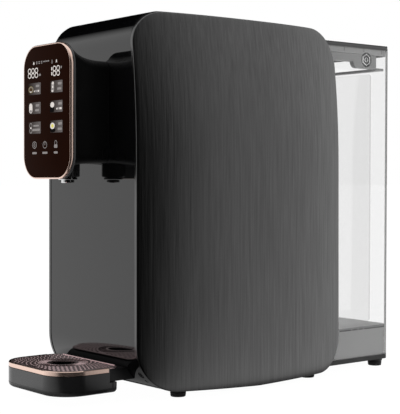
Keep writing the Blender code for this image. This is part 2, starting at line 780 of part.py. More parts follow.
def add_top(root, gloss, steel):
    """The top cover with a hinged hatch over the filters."""
    cover = piece("top_cover", strip_shell(cover_line(0.0), cover_line(COVER_WALL), casing_half_width), gloss, root)
    slot_back = HATCH_AXIS_Y + BARREL_RADIUS + BARREL_SWEEP
    mouth_low = (-HATCH_HALF_WIDTH - GAP, HATCH_FRONT - GAP, BODY_TOP - 3 * COVER_WALL)
    mouth_high = (HATCH_HALF_WIDTH + GAP, slot_back, BODY_TOP + COVER_WALL)
    cut(cover, box(mouth_low, mouth_high), "hatch_mouth")
    bore = PIN_RADIUS + PIN_CLEARANCE
    for side, sign in (("left", -1), ("right", 1)):
        inner = sign * (HATCH_HALF_WIDTH + GAP)
        outer = inner + sign * LUG_WIDTH
        low = (min(inner, outer), HATCH_AXIS_Y - LUG_REACH, HATCH_AXIS_Z - LUG_REACH)
        high = (max(inner, outer), HATCH_AXIS_Y + LUG_REACH, BODY_TOP - COVER_WALL / 2)
        add(cover, box(low, high), "lug_" + side)
    pin_half = HATCH_HALF_WIDTH + GAP + LUG_WIDTH
    start = (-pin_half - GAP, HATCH_AXIS_Y, HATCH_AXIS_Z)
    end = (pin_half + GAP, HATCH_AXIS_Y, HATCH_AXIS_Z)
    cut(cover, rod(bore, start, end, steps=12), "pin_bore")
    pin_start = (GAP - pin_half, HATCH_AXIS_Y, HATCH_AXIS_Z)
    pin_end = (pin_half - GAP, HATCH_AXIS_Y, HATCH_AXIS_Z)
    piece("hatch_pin", rod(PIN_RADIUS, pin_start, pin_end, steps=12), steel, root)
    axis = carrier("hatch_axis", (0.0, HATCH_AXIS_Y, HATCH_AXIS_Z), root)
    under = BODY_TOP - COVER_WALL
    meet = math.asin((under - HATCH_AXIS_Z) / BARREL_RADIUS)
    barrel = arc((HATCH_AXIS_Y, HATCH_AXIS_Z), BARREL_RADIUS, math.pi / 2, -math.pi - meet, 12)
    outline = [(HATCH_FRONT, under), (HATCH_FRONT, BODY_TOP)] + barrel
    hatch = piece("filter_hatch", prism(outline, -HATCH_HALF_WIDTH, HATCH_HALF_WIDTH, "X"), gloss, axis)
    cut(hatch, rod(bore, start, end, steps=12), "pin_bore")


def add_rear_wall(root, dark):
    """The wall between the works and the tank."""
    top = cover_line(COVER_WALL)[-1][1] - GAP
    heights = [PAN_TOP + GAP, LEAN_START]
    heights += [LEAN_START + (top - LEAN_START) * step / 4 for step in range(1, 5)]
    right = [(casing_half_width(BODY_BACK, z), z) for z in heights]
    left = [(-x, z) for x, z in reversed(right)]
    wall = piece("rear_wall", prism(right + left, BODY_BACK - BACK_WALL, BODY_BACK, "Y"), dark, root)
    hole = rod(HOSE_RADIUS + SLIDE_GAP, (0.0, BODY_BACK - PEDESTAL_TOP, SEAT_HOSE_Z), (0.0, TANK_BACK, SEAT_HOSE_Z))
    cut(wall, hole, "hose_hole")


def head_outline(inset):
    """Tall rounded outline of the head, drawn in from the glass edge."""
    side = GLASS_HALF_WIDTH - inset
    low = HEAD_BOTTOM + inset
    high = HEAD_BOTTOM + HEAD_HEIGHT - inset
    return rounded_box(-side, side, low, high, GLASS_CORNER - inset, steps=7)


def add_head(root, glass, rose, board, dark):
    """Touch glass, metal ring, display board and back shell of the head."""
    front = -HEAD_REACH
    glass_back = front + GLASS_THICKNESS
    piece("touch_glass", prism(head_outline(0.0), front, glass_back, "Y"), glass, root)
    outer = -GAP - BEZEL_WIDTH
    rings = [
        spread(head_outline(-GAP), front + GAP, "Y"),
        spread(head_outline(outer + BEZEL_CHAMFER), front + GAP, "Y"),
        spread(head_outline(outer), front + GAP + BEZEL_CHAMFER, "Y"),
        spread(head_outline(outer), front + BEZEL_DEPTH, "Y"),
        spread(head_outline(-GAP), front + BEZEL_DEPTH, "Y"),
    ]
    piece("bezel_ring", loft(rings, closed=True), rose, root)
    board_front = glass_back + GAP
    board_shape = prism(head_outline(BOARD_MARGIN), board_front, HEAD_BACK_FRONT - GAP, "Y")
    piece("display_board", board_shape, board, root)
    back_outline = head_outline(outer + HEAD_BACK_INSET)
    back_shape = prism(back_outline, HEAD_BACK_FRONT, HEAD_BACK_FRONT + HEAD_BACK_DEPTH, "Y")
    back = piece("head_back", back_shape, dark, root)
    low = (-CABLE_HOLE_HALF, -HEAD_REACH, CABLE_HOLE_BOTTOM)
    high = (CABLE_HOLE_HALF, 0.0, CABLE_HOLE_TOP)
    cut(back, box(low, high), "cable_hole")


def neck_outline(share, depth):
    """Neck section where share runs from 0 at the head to 1 at the front panel."""
    flare = (1 - share) ** 3
    side = NECK_HALF_WIDTH + NECK_FLARE * flare - depth
    low = NECK_BOTTOM - NECK_FLARE_BOTTOM * flare + depth
    high = NECK_TOP + NECK_FLARE_TOP * flare - depth
    return rounded_box(-side, side, low, high, NECK_CORNER - depth, steps=4)


def add_neck(root, gloss):
    """The hollow neck that carries the head."""
    shares = [0.0, 0.12, 0.28, 0.5, 1.0]
    rings = []
    for share in shares:
        y = NECK_FRONT + (-GAP - NECK_FRONT) * share
        rings.append(spread(neck_outline(share, 0.0), y, "Y"))
    for share in reversed(shares):
        y = NECK_FRONT + (-GAP - NECK_FRONT) * share
        rings.append(spread(neck_outline(share, NECK_WALL), y, "Y"))
    neck = piece("neck_housing", loft(rings, closed=True), gloss, root)
    hole = rod(TAP_RADIUS + GAP, (0.0, TAP_Y, TAP_BOTTOM), (0.0, TAP_Y, TAP_TOP), steps=24)
    cut(neck, hole, "tap_hole")


def add_tap(root, dark, chrome):
    """The tap block under the neck and its bright outlet."""
    profile = [(TAP_RADIUS - TAP_CHAMFER, TAP_BOTTOM), (TAP_RADIUS, TAP_BOTTOM + TAP_CHAMFER)]
    profile += [(TAP_RADIUS, TAP_TOP)]
    block = piece("tap_block", turned(profile, (0.0, TAP_Y, 0.0)), dark, root)
    stem_top = TAP_BOTTOM + NOZZLE_STEM
    socket = rod(NOZZLE_STEM_RADIUS + GAP, (0.0, TAP_Y, HEAD_BOTTOM / 2), (0.0, TAP_Y, stem_top + GAP), steps=24)
    cut(block, socket, "nozzle_socket")
    spigot_end = TAP_Y + TAP_RADIUS + SPIGOT_LENGTH
    spigot = rod(SPIGOT_RADIUS, (0.0, TAP_Y, TAP_HOSE_Z), (0.0, spigot_end, TAP_HOSE_Z))
    add(block, spigot, "hot_inlet")
    low = TAP_BOTTOM - NOZZLE_DROP
    profile = [
        (NOZZLE_BORE, low),
        (NOZZLE_TIP_RADIUS, low),
        (NOZZLE_TIP_RADIUS, low + NOZZLE_TIP),
        (NOZZLE_RADIUS, low + NOZZLE_TIP),
        (NOZZLE_RADIUS, TAP_BOTTOM - GAP),
        (NOZZLE_STEM_RADIUS, TAP_BOTTOM - GAP),
        (NOZZLE_STEM_RADIUS, stem_top),
        (NOZZLE_BORE, stem_top),
    ]
    piece("nozzle", turned(profile, (0.0, TAP_Y, 0.0), hollow=True), chrome, root)


def tray_outline(inset, back):
    """Plan of the tray down to a back edge, with its round front corners."""
    side = TRAY_HALF_WIDTH - inset
    front = inset - TRAY_REACH
    large = TRAY_FRONT_CORNER - inset
    corners = [(-side, front, large), (side, front, large)]
    corners += [(side, back, TRAY_BACK_CORNER), (-side, back, TRAY_BACK_CORNER)]
    return rounded(corners, steps=7)


def tray_band(outer, inner, end, low, high):
    """A band round the tray's front and sides, between two insets."""
    line = []
    for inset in (outer, inner):
        side = TRAY_HALF_WIDTH - inset
        radius = TRAY_FRONT_CORNER - inset
        front = radius + inset - TRAY_REACH
        right = arc((side - radius, front), radius, 0.0, -math.pi / 2, 7)
        left = arc((radius - side, front), radius, -math.pi / 2, -math.pi, 7)
        turn = [(side, end)] + right + left + [(-side, end)]
        line += turn if inset == outer else turn[::-1]
    return prism(line, low, high)


def add_tray(root, dark, rose, bronze):
    """Bracket, sliding drip tray, its bright band and the lift-out grille."""
    seat = arc(BOTTOM_CENTER, BOTTOM_ROUND + GAP, math.pi + BRACKET_LOW_ANGLE, math.pi + BRACKET_HIGH_ANGLE, 4)
    section = [(-BRACKET_REACH, seat[-1][1]), (-BRACKET_REACH, seat[0][1])] + seat
    piece("tray_bracket", prism(section, -BRACKET_HALF_WIDTH, BRACKET_HALF_WIDTH, "X"), dark, root)
    slide = carrier("tray_slide_axis", (0.0, -TRAY_REACH / 2, TRAY_BOTTOM), root)
    lower = TRAY_BOTTOM + TRAY_BOTTOM_ROUND
    rings = [
        spread(tray_outline(TRAY_BOTTOM_ROUND, TRAY_LEDGE_BACK - TRAY_BOTTOM_ROUND), TRAY_BOTTOM, "Z"),
        spread(tray_outline(TRAY_BOTTOM_ROUND / 3, TRAY_LEDGE_BACK), TRAY_BOTTOM + TRAY_BOTTOM_ROUND / 3, "Z"),
        spread(tray_outline(0.0, TRAY_LEDGE_BACK), lower, "Z"),
        spread(tray_outline(0.0, TRAY_LEDGE_BACK), TRAY_TOP, "Z"),
    ]
    tray = piece("tray_body", loft(rings), dark, slide)
    wall_back = -BRACKET_REACH - SLIDE_GAP
    basin_back = wall_back - TRAY_WALL
    floor = TRAY_BOTTOM + TRAY_FLOOR
    cut(tray, prism(tray_outline(TRAY_WALL, basin_back), floor, TRAY_TOP + TRAY_WALL), "basin")
    seat = TRAY_TOP - GRILLE_THICKNESS - GAP
    cut(tray, prism(tray_outline(RIM_WIDTH, 0.0), seat, TRAY_TOP + TRAY_WALL), "grille_seat")
    notch_low = (-2 * TRAY_HALF_WIDTH, wall_back, BRACKET_BOTTOM - SLIDE_GAP)
    notch_high = (2 * TRAY_HALF_WIDTH, TRAY_REACH, TRAY_TOP + TRAY_WALL)
    cut(tray, box(notch_low, notch_high), "bracket_notch")
    trim_bottom = TRAY_TOP - TRIM_HEIGHT
    groove_top = TRAY_TOP + TRIM_DEPTH
    groove = tray_band(-TRIM_DEPTH, TRIM_DEPTH + GAP, TRIM_END + GAP, trim_bottom - GAP, groove_top)
    cut(tray, groove, "trim_groove")
    for side, sign in (("left", -1), ("right", 1)):
        pad_low = (sign * TRAY_PAD_X, TRAY_PAD_Y, TRAY_BOTTOM - TRAY_PAD_HEIGHT)
        pad_high = (sign * TRAY_PAD_X, TRAY_PAD_Y, TRAY_BOTTOM + TRAY_FLOOR / 2)
        add(tray, rod(TRAY_PAD_RADIUS, pad_low, pad_high, steps=12), "pad_" + side)
    band = tray_band(0.0, TRIM_DEPTH, TRIM_END, trim_bottom, TRAY_TOP)
    piece("tray_trim", band, rose, slide)
    lift = carrier("grille_lift_axis", (0.0, GRILLE_CENTER_Y, seat), slide)
    plate_low = seat + GAP
    plate = prism(tray_outline(RIM_WIDTH + GAP, GRILLE_BACK), plate_low, TRAY_TOP)
    grille = piece("tray_grille", plate, bronze, lift)
    holes = [rod(GRILLE_HOLE, (0.0, GRILLE_CENTER_Y, 0.0), (0.0, GRILLE_CENTER_Y, 2 * TRAY_TOP), steps=24)]
    for index in range(SLOT_COUNT):
        turn = Matrix.Rotation(2 * math.pi * index / SLOT_COUNT, 4, "Z")
        slot = box((SLOT_INNER, -SLOT_WIDTH / 2, 0.0), (SLOT_OUTER, SLOT_WIDTH / 2, 2 * TRAY_TOP))
        slot.transform(Matrix.Translation((0.0, GRILLE_CENTER_Y, 0.0)) @ turn)
        holes.append(slot)
    cut(grille, merged(holes), "drain_holes")


def add_tank(root, clear, dark, grey, steel):
    """The lift-off tank with its lid, collar, return block and inner frame."""
    lift = carrier("tank_lift_axis", (0.0, OUTLET_Y, TANK_SKIRT), root)
    skirt_top = PEDESTAL_TOP + GAP
    rings = [
        spread(tank_outline(TANK_FLOOR_TOP, TANK_WALL), TANK_FLOOR_TOP, "Z"),
        spread(tank_outline(TANK_TOP, TANK_WALL), TANK_TOP, "Z"),
        spread(tank_outline(TANK_TOP, 0.0), TANK_TOP, "Z"),
        spread(tank_outline(TANK_SKIRT, 0.0), TANK_SKIRT, "Z"),
        spread(tank_outline(TANK_SKIRT, TANK_WALL), TANK_SKIRT, "Z"),
        spread(tank_outline(skirt_top, TANK_WALL), skirt_top, "Z"),
    ]
    shell = piece("tank_shell", loft(rings), clear, lift)
    hole = rod(VALVE_RADIUS + GAP, (0.0, OUTLET_Y, 0.0), (0.0, OUTLET_Y, 2 * TANK_FLOOR_TOP), steps=24)
    cut(shell, hole, "outlet_hole")
    channel_top = SEAT_HOSE_Z + 2 * HOSE_RADIUS
    channel_low = (-2 * HOSE_RADIUS, TANK_FRONT - TANK_WALL, 0.0)
    cut(shell, box(channel_low, (2 * HOSE_RADIUS, TANK_FRONT + 2 * TANK_WALL, channel_top)), "hose_channel")
    low = TANK_FLOOR_TOP
    recess = [
        (tank_back(low) - RECESS_DEPTH, low),
        (tank_back(low) + TANK_WALL, low),
        (tank_back(RECESS_TOP) + TANK_WALL, RECESS_TOP),
        (tank_back(RECESS_TOP) - RECESS_DEPTH, RECESS_TOP),
    ]
    cut(shell, prism(recess, -RECESS_HALF_WIDTH, RECESS_HALF_WIDTH, "X"), "back_recess")
    add_collar(lift, grey)
    add_lid(lift, dark, steel)
    add_return_block(lift, grey, dark)


def ear_sides():
    for side, sign in (("left", -1), ("right", 1)):
        near = sign * EAR_X
        far = sign * (EAR_X + EAR_WIDTH)
        yield side, min(near, far), max(near, far)


def fitting_pocket():
    """The round recess that the return fitting sits in."""
    start = (SOCKET_FLOOR, FITTING_Y, FITTING_Z)
    return rod(FITTING_RADIUS + SLIDE_GAP, start, (2 * TANK_HALF_WIDTH, FITTING_Y, FITTING_Z), steps=20)


def add_collar(lift, grey):
    """The grey ring inside the rim, with two ears for the lid's pin."""
    outer = tank_outline(TANK_TOP, TANK_WALL + GAP + TANK_CLEARANCE / 3)
    inner = tank_outline(TANK_TOP, TANK_WALL + GAP + COLLAR_WALL)
    collar = piece("tank_collar", ring_frame(outer, inner, COLLAR_BOTTOM, COLLAR_TOP), grey, lift)
    post_front = TANK_FRONT + TANK_WALL + 2 * GAP
    back = TANK_FRONT + TANK_WALL + GAP + COLLAR_WALL
    top = LID_AXIS_Z + LID_THICKNESS / 2 - GAP
    for side, low_x, high_x in ear_sides():
        post = box((low_x, post_front, COLLAR_TOP - COLLAR_WALL), (high_x, back, top))
        add(collar, post, "post_" + side)
        ear = box((low_x, TANK_FRONT + GAP, LID_BOTTOM), (high_x, back, top))
        add(collar, ear, "ear_" + side)
    half = EAR_X + EAR_WIDTH + LID_PIN_REACH
    bore = rod(PIN_RADIUS + PIN_CLEARANCE, (-half, LID_AXIS_Y, LID_AXIS_Z), (half, LID_AXIS_Y, LID_AXIS_Z), steps=12)
    cut(collar, bore, "pin_bore")
    cut(collar, fitting_pocket(), "fitting_pocket")


def add_lid(lift, dark, steel):
    """The hinged lid, rounded about its pin so that it clears the rim."""
    axis = carrier("lid_axis", (0.0, LID_AXIS_Y, LID_AXIS_Z), lift)
    top = LID_BOTTOM + LID_THICKNESS
    levels = (
        (LID_BOTTOM, LID_CHAMFER, 0.0),
        (LID_BOTTOM + LID_CHAMFER, 0.0, 0.0),
        (top - LID_CHAMFER, 0.0, GAP),
        (top, LID_CHAMFER, LID_TOP_ROUND),
    )
    rings = [spread(tank_outline(TANK_TOP, inset, front), z, "Z") for z, front, inset in levels]
    lid = piece("tank_lid", loft(rings), dark, axis)
    notch_back = TANK_FRONT + TANK_WALL + COLLAR_WALL + 4 * GAP
    for side, low_x, high_x in ear_sides():
        low = (low_x - GAP, TANK_FRONT - TANK_WALL, LID_BOTTOM - LID_THICKNESS)
        high = (high_x + GAP, notch_back, top + LID_THICKNESS)
        cut(lid, box(low, high), "ear_notch_" + side)
    half = EAR_X + EAR_WIDTH + LID_PIN_REACH
    start = (-half - GAP, LID_AXIS_Y, LID_AXIS_Z)
    end = (half + GAP, LID_AXIS_Y, LID_AXIS_Z)
    cut(lid, rod(PIN_RADIUS + PIN_CLEARANCE, start, end, steps=12), "pin_bore")
    pin = rod(PIN_RADIUS, (-half, LID_AXIS_Y, LID_AXIS_Z), (half, LID_AXIS_Y, LID_AXIS_Z), steps=12)
    piece("lid_pin", pin, steel, lift)


def add_return_block(lift, grey, dark):
    """The block under the collar, its round return fitting and the frame behind it."""
    shallow = BLOCK_TOP - BLOCK_DROP
    deep = BLOCK_TOP - BLOCK_DEEP_DROP
    bend = arc((BLOCK_STEP_Y + BLOCK_FILLET, deep + BLOCK_FILLET), BLOCK_FILLET, math.pi, 1.5 * math.pi, 5)
    outline = [(BLOCK_FRONT, BLOCK_TOP), (BLOCK_FRONT, shallow), (BLOCK_STEP_Y, shallow)]
    outline += bend[1:] + [(BLOCK_BACK, deep), (BLOCK_BACK, BLOCK_TOP)]
    block = piece("return_block", prism(outline, BLOCK_INNER_X, BLOCK_OUTER_X, "X"), grey, lift)
    cut(block, fitting_pocket(), "fitting_pocket")
    flange = SOCKET_FLOOR + GAP
    profile = [(FITTING_RADIUS, 0.0), (FITTING_RADIUS, FITTING_FLANGE), (HEX_RADIUS, FITTING_FLANGE)]
    reach = FITTING_POCKET - GAP
    profile += [(HEX_RADIUS, reach), (HEX_BORE, reach), (HEX_BORE, 0.0)]
    fitting = turned(profile, (flange, FITTING_Y, FITTING_Z), (1, 0, 0), steps=24, hollow=True)
    piece("return_fitting", fitting, dark, lift)
    top = deep + FRAME_RISE
    side = TANK_HALF_WIDTH - TANK_WALL - FRAME_MARGIN
    back = tank_back(top) - TANK_WALL - FRAME_BACK_MARGIN
    rail = FRAME_RAIL
    outer = [(-side, FRAME_FRONT), (-side, back), (side, back), (side, FRAME_FRONT)]
    inner = [(side - rail, FRAME_FRONT), (side - rail, back - rail), (rail - side, back - rail)]
    inner += [(rail - side, FRAME_FRONT)]
    piece("tank_frame", prism(outer + inner, top - FRAME_THICKNESS, top, "Z"), grey, lift)


def add_outlet(root, lift, grey, dark, rubber, steel):
    """The sprung valve in the tank floor, and the seat that opens it."""
    center = (0.0, OUTLET_Y, 0.0)
    cap_top = VALVE_FLANGE_BOTTOM + VALVE_CAP
    groove_low = VALVE_BOTTOM + VALVE_SEAT_HEIGHT
    groove_high = groove_low + RING_GROOVE_WIDTH
    groove = VALVE_RADIUS - RING_GROOVE_DEPTH
    profile = [
        (VALVE_SEAT_RADIUS, VALVE_BOTTOM),
        (VALVE_RADIUS, VALVE_BOTTOM),
        (VALVE_RADIUS, groove_low),
        (groove, groove_low),
        (groove, groove_high),
        (VALVE_RADIUS, groove_high),
        (VALVE_RADIUS, VALVE_FLANGE_BOTTOM),
        (VALVE_FLANGE, VALVE_FLANGE_BOTTOM),
        (VALVE_FLANGE, cap_top),
        (VALVE_GUIDE, cap_top),
        (VALVE_GUIDE, VALVE_FLANGE_BOTTOM),
        (VALVE_BORE, VALVE_FLANGE_BOTTOM),
        (VALVE_BORE, VALVE_BOTTOM + VALVE_SEAT_HEIGHT),
        (VALVE_SEAT_RADIUS, VALVE_BOTTOM + VALVE_SEAT_HEIGHT),
    ]
    valve = piece("outlet_valve", turned(profile, center, hollow=True), dark, lift)
    windows = []
    for index in range(4):
        turn = Matrix.Rotation(math.pi / 2 * index, 4, "Z")
        low = (VALVE_GUIDE + WATER_WINDOW, -WATER_WINDOW, VALVE_FLANGE_BOTTOM - VALVE_CAP / 2)
        high = (VALVE_BORE - WATER_WINDOW / 4, WATER_WINDOW, cap_top + VALVE_CAP)
        window = box(low, high)
        window.transform(Matrix.Translation(center) @ turn)
        windows.append(window)
    cut(valve, merged(windows), "water_windows")
    poppet_axis = carrier("poppet_axis", (0.0, OUTLET_Y, POPPET_OPEN), lift)
    disc_top = POPPET_OPEN + POPPET_THICKNESS
    profile = [
        (POPPET_STEM, STEM_BOTTOM),
        (POPPET_STEM, POPPET_OPEN),
        (POPPET_RADIUS, POPPET_OPEN),
        (POPPET_RADIUS, disc_top),
        (POPPET_STEM, disc_top),
        (POPPET_STEM, disc_top + POPPET_GUIDE_LENGTH),
    ]
    piece("outlet_poppet", turned(profile, center, steps=16), steel, poppet_axis)
    add_spring(lift, disc_top, steel)
    middle = (groove_low + groove_high) / 2
    ring_radius = groove + GAP + RING_WIRE
    wire = arc((ring_radius, middle), RING_WIRE, 0.0, 2 * math.pi, 8)[:-1]
    piece("outlet_seal", turned(wire, center, hollow=True), rubber, lift)
    profile = [
        (POPPET_STEM, STEM_BOTTOM - GAP),
        (POPPET_STEM, SEAT_BOTTOM + SEAT_FLOOR),
        (SEAT_BORE, SEAT_BOTTOM + SEAT_FLOOR),
        (SEAT_BORE, SEAT_TOP),
        (SEAT_RADIUS, SEAT_TOP),
        (SEAT_RADIUS, SEAT_BOTTOM),
    ]
    seat = piece("water_seat", turned(profile, center), dark, root)
    spigot_end = OUTLET_Y - SEAT_RADIUS - SPIGOT_LENGTH
    start = (0.0, OUTLET_Y - SEAT_BORE - SEAT_WALL / 2, SEAT_HOSE_Z)
    add(seat, rod(SPIGOT_RADIUS, start, (0.0, spigot_end, SEAT_HOSE_Z)), "spigot")
    add_pedestal(root, grey)


def add_spring(lift, bottom, steel):
    """The valve's coil spring, one unbroken helix between poppet and cap."""
    low = bottom + GAP + SPRING_WIRE
    high = VALVE_FLANGE_BOTTOM - GAP - SPRING_WIRE
    per_turn = 12
    total = SPRING_TURNS * per_turn
    pitch = (high - low) / SPRING_TURNS
    print("outlet_spring least gap between turns, mm:", round((pitch - 2 * SPRING_WIRE) * 1000, 3))
    route = []
    for index in range(total + 1):
        angle = 2 * math.pi * index / per_turn
        x = SPRING_RADIUS * math.cos(angle)
        y = OUTLET_Y + SPRING_RADIUS * math.sin(angle)
        route.append((x, y, low + (high - low) * index / total))
    tube("outlet_spring", route, SPRING_WIRE, steel, lift, steps=1, sides_level=1)


def add_pedestal(root, grey):
    """The hollow block that the tank stands on, inside the tank's clear skirt."""
    base = PAN_TOP + GAP
    inset = TANK_WALL + SLIDE_GAP
    inner_inset = inset + PEDESTAL_WALL
    under = PEDESTAL_TOP - PEDESTAL_WALL
    rings = [
        spread(tank_outline(PEDESTAL_TOP, inset), PEDESTAL_TOP, "Z"),
        spread(tank_outline(TANK_SKIRT, inset), base, "Z"),
        spread(tank_outline(TANK_SKIRT, inner_inset), base, "Z"),
        spread(tank_outline(under, inner_inset), under, "Z"),
    ]
    pedestal = piece("tank_pedestal", loft(rings), grey, root)
    hole = rod(SEAT_RADIUS + GAP, (0.0, OUTLET_Y, under / 2), (0.0, OUTLET_Y, 2 * PEDESTAL_TOP), steps=24)
    cut(pedestal, hole, "seat_hole")
    start = (0.0, TANK_FRONT, SEAT_HOSE_Z)
    hose_hole = rod(HOSE_RADIUS + SLIDE_GAP, start, (0.0, OUTLET_Y - SEAT_RADIUS, SEAT_HOSE_Z))
    cut(pedestal, hose_hole, "hose_hole")


def add_filters(root, dark, white, grey):
    """Upright plate, manifold and two quarter-turn filter cartridges."""
    low = (-FRAME_HALF_WIDTH, FRAME_Y, PAN_TOP + GAP)
    frame = piece("inner_frame", box(low, (FRAME_HALF_WIDTH, FRAME_BACK, FRAME_TOP)), dark, root)
    start = (DELIVERY_X, FRAME_Y - FRAME_PLATE, DELIVERY_HOSE_Z)
    end = (DELIVERY_X, FRAME_BACK + FRAME_PLATE, DELIVERY_HOSE_Z)
    cut(frame, rod(HOSE_RADIUS + SLIDE_GAP, start, end), "hose_hole")
    low = (-MANIFOLD_HALF_WIDTH, FRAME_BACK + GAP, MANIFOLD_BOTTOM)
    manifold = piece("filter_manifold", box(low, (MANIFOLD_HALF_WIDTH, MANIFOLD_BACK, MANIFOLD_TOP)), grey, root)
    spigot_end = BOX_FRONT - GAP
    outlet_z = MANIFOLD_BOTTOM + MANIFOLD_HEIGHT / 2
    start = (CARTRIDGE_X, MANIFOLD_BACK - SPIGOT_LENGTH, outlet_z)
    add(manifold, rod(SPIGOT_RADIUS, start, (CARTRIDGE_X, spigot_end, outlet_z)), "box_outlet")
    inlet_y = PUMP_FRONT + PUMP_HEAD_LENGTH / 2
    start = (PUMP_X, inlet_y, MANIFOLD_BOTTOM - SPIGOT_LENGTH)
    add(manifold, rod(SPIGOT_RADIUS, start, (PUMP_X, inlet_y, MANIFOLD_BOTTOM + SPIGOT_LENGTH / 2)), "pump_inlet")
    for side, sign in (("left", -1), ("right", 1)):
        x = sign * CARTRIDGE_X
        socket_low = MANIFOLD_TOP - SOCKET_DEPTH
        socket = rod(CARTRIDGE_NECK + GAP, (x, CARTRIDGE_Y, socket_low), (x, CARTRIDGE_Y, 2 * MANIFOLD_TOP), steps=20)
        cut(manifold, socket, "socket_" + side)
        bottom = MANIFOLD_TOP + GAP
        top = bottom + CARTRIDGE_HEIGHT
        profile = [
            (CARTRIDGE_NECK, bottom - CARTRIDGE_NECK_LENGTH),
            (CARTRIDGE_NECK, bottom),
            (CARTRIDGE_RADIUS, bottom),
            (CARTRIDGE_RADIUS, top - CARTRIDGE_DOME),
            (CARTRIDGE_RADIUS - CARTRIDGE_DOME, top),
        ]
        axis = carrier("cartridge_axis_" + side, (x, CARTRIDGE_Y, bottom), root)
        cartridge = piece("filter_cartridge_" + side, turned(profile, (x, CARTRIDGE_Y, 0.0)), white, axis)
        low = (x - GRIP_HALF_LENGTH, CARTRIDGE_Y - GRIP_HALF_WIDTH, top - CARTRIDGE_DOME)
        high = (x + GRIP_HALF_LENGTH, CARTRIDGE_Y + GRIP_HALF_WIDTH, top + GRIP_HEIGHT)
        add(cartridge, box(low, high), "grip")


def add_pumps(root, dark, steel, brass, grey):
    """Booster pump on its cradle, with motor and shaft, and the delivery pump."""
    base = PAN_TOP + GAP
    motor_back = MOTOR_FRONT + MOTOR_LENGTH
    low = (PUMP_X - CRADLE_HALF_WIDTH, PUMP_FRONT, base)
    high = (PUMP_X + CRADLE_HALF_WIDTH, motor_back, base + CRADLE_BASE)
    cradle = piece("pump_cradle", box(low, high), dark, root)
    ribs = (
        ("front", PUMP_FRONT + CRADLE_MARGIN, PUMP_HEAD_RADIUS),
        ("back", motor_back - CRADLE_MARGIN, MOTOR_RADIUS),
    )
    for label, y, radius in ribs:
        low = (PUMP_X - CRADLE_HALF_WIDTH, y - CRADLE_RIB, base + CRADLE_BASE / 2)
        high = (PUMP_X + CRADLE_HALF_WIDTH, y + CRADLE_RIB, PUMP_Z - radius / 2)
        add(cradle, box(low, high), "rib_" + label)
        start = (PUMP_X, y - 2 * CRADLE_RIB, PUMP_Z)
        end = (PUMP_X, y + 2 * CRADLE_RIB, PUMP_Z)
        cut(cradle, rod(radius + GAP, start, end, steps=24), "hollow_" + label)
    head_back = PUMP_FRONT + PUMP_HEAD_LENGTH
    start = (PUMP_X, PUMP_FRONT, PUMP_Z)
    head = piece("pump_head", rod(PUMP_HEAD_RADIUS, start, (PUMP_X, head_back, PUMP_Z), steps=24), dark, root)
    start = (PUMP_X, head_back - PUMP_CAVITY_DEPTH, PUMP_Z)
    cut(head, rod(PUMP_CAVITY_RADIUS, start, (PUMP_X, motor_back, PUMP_Z), steps=20), "cavity")
    port_y = PUMP_FRONT + PUMP_HEAD_LENGTH / 4
    start = (PUMP_X, port_y, PUMP_Z)
    add(head, rod(SPIGOT_RADIUS, start, (PUMP_X + PUMP_HEAD_RADIUS + SPIGOT_LENGTH, port_y, PUMP_Z)), "inlet")
    outlet_y = PUMP_FRONT + PUMP_HEAD_LENGTH / 2
    start = (PUMP_X, outlet_y, PUMP_TOP - SPIGOT_LENGTH)
    add(head, rod(SPIGOT_RADIUS, start, (PUMP_X, outlet_y, PUMP_TOP + SPIGOT_LENGTH)), "outlet")
    bore = SHAFT_RADIUS + GAP
    shaft_back = MOTOR_LENGTH - CRADLE_MARGIN
    profile = [(MOTOR_RADIUS, 0.0), (MOTOR_RADIUS, MOTOR_LENGTH), (bore, MOTOR_LENGTH), (bore, 0.0)]
    motor = turned(profile, (PUMP_X, MOTOR_FRONT, PUMP_Z), (0, 1, 0), hollow=True)
    piece("pump_motor", motor, steel, root)
    spin = carrier("pump_shaft_axis", (PUMP_X, MOTOR_FRONT, PUMP_Z), root)
    disc_back = MOTOR_FRONT - ECCENTRIC_WIDTH / 2
    shaft_body = rod(SHAFT_RADIUS, (PUMP_X, disc_back - ECCENTRIC_WIDTH / 2, PUMP_Z),
                     (PUMP_X, MOTOR_FRONT + shaft_back, PUMP_Z))
    shaft = piece("pump_shaft", shaft_body, brass, spin)
    disc_x = PUMP_X + ECCENTRIC_OFFSET
    disc = rod(ECCENTRIC_RADIUS, (disc_x, disc_back - ECCENTRIC_WIDTH, PUMP_Z), (disc_x, disc_back, PUMP_Z), steps=20)
    add(shaft, disc, "eccentric")
    low = (DELIVERY_X - DELIVERY_HALF, DELIVERY_Y - DELIVERY_HALF, base)
    high = (DELIVERY_X + DELIVERY_HALF, DELIVERY_Y + DELIVERY_HALF, DELIVERY_TOP)
    delivery = piece("delivery_pump", box(low, high), grey, root)
    start = (DELIVERY_X, DELIVERY_Y, DELIVERY_TOP - SPIGOT_LENGTH)
    add(delivery, rod(SPIGOT_RADIUS, start, (DELIVERY_X, DELIVERY_Y, DELIVERY_TOP + SPIGOT_LENGTH)), "inlet")
    start = (DELIVERY_X, DELIVERY_Y - DELIVERY_HALF / 2, DELIVERY_HOSE_Z)
    end = (DELIVERY_X, DELIVERY_Y - DELIVERY_HALF - SPIGOT_LENGTH, DELIVERY_HOSE_Z)
    add(delivery, rod(SPIGOT_RADIUS, start, end), "outlet")


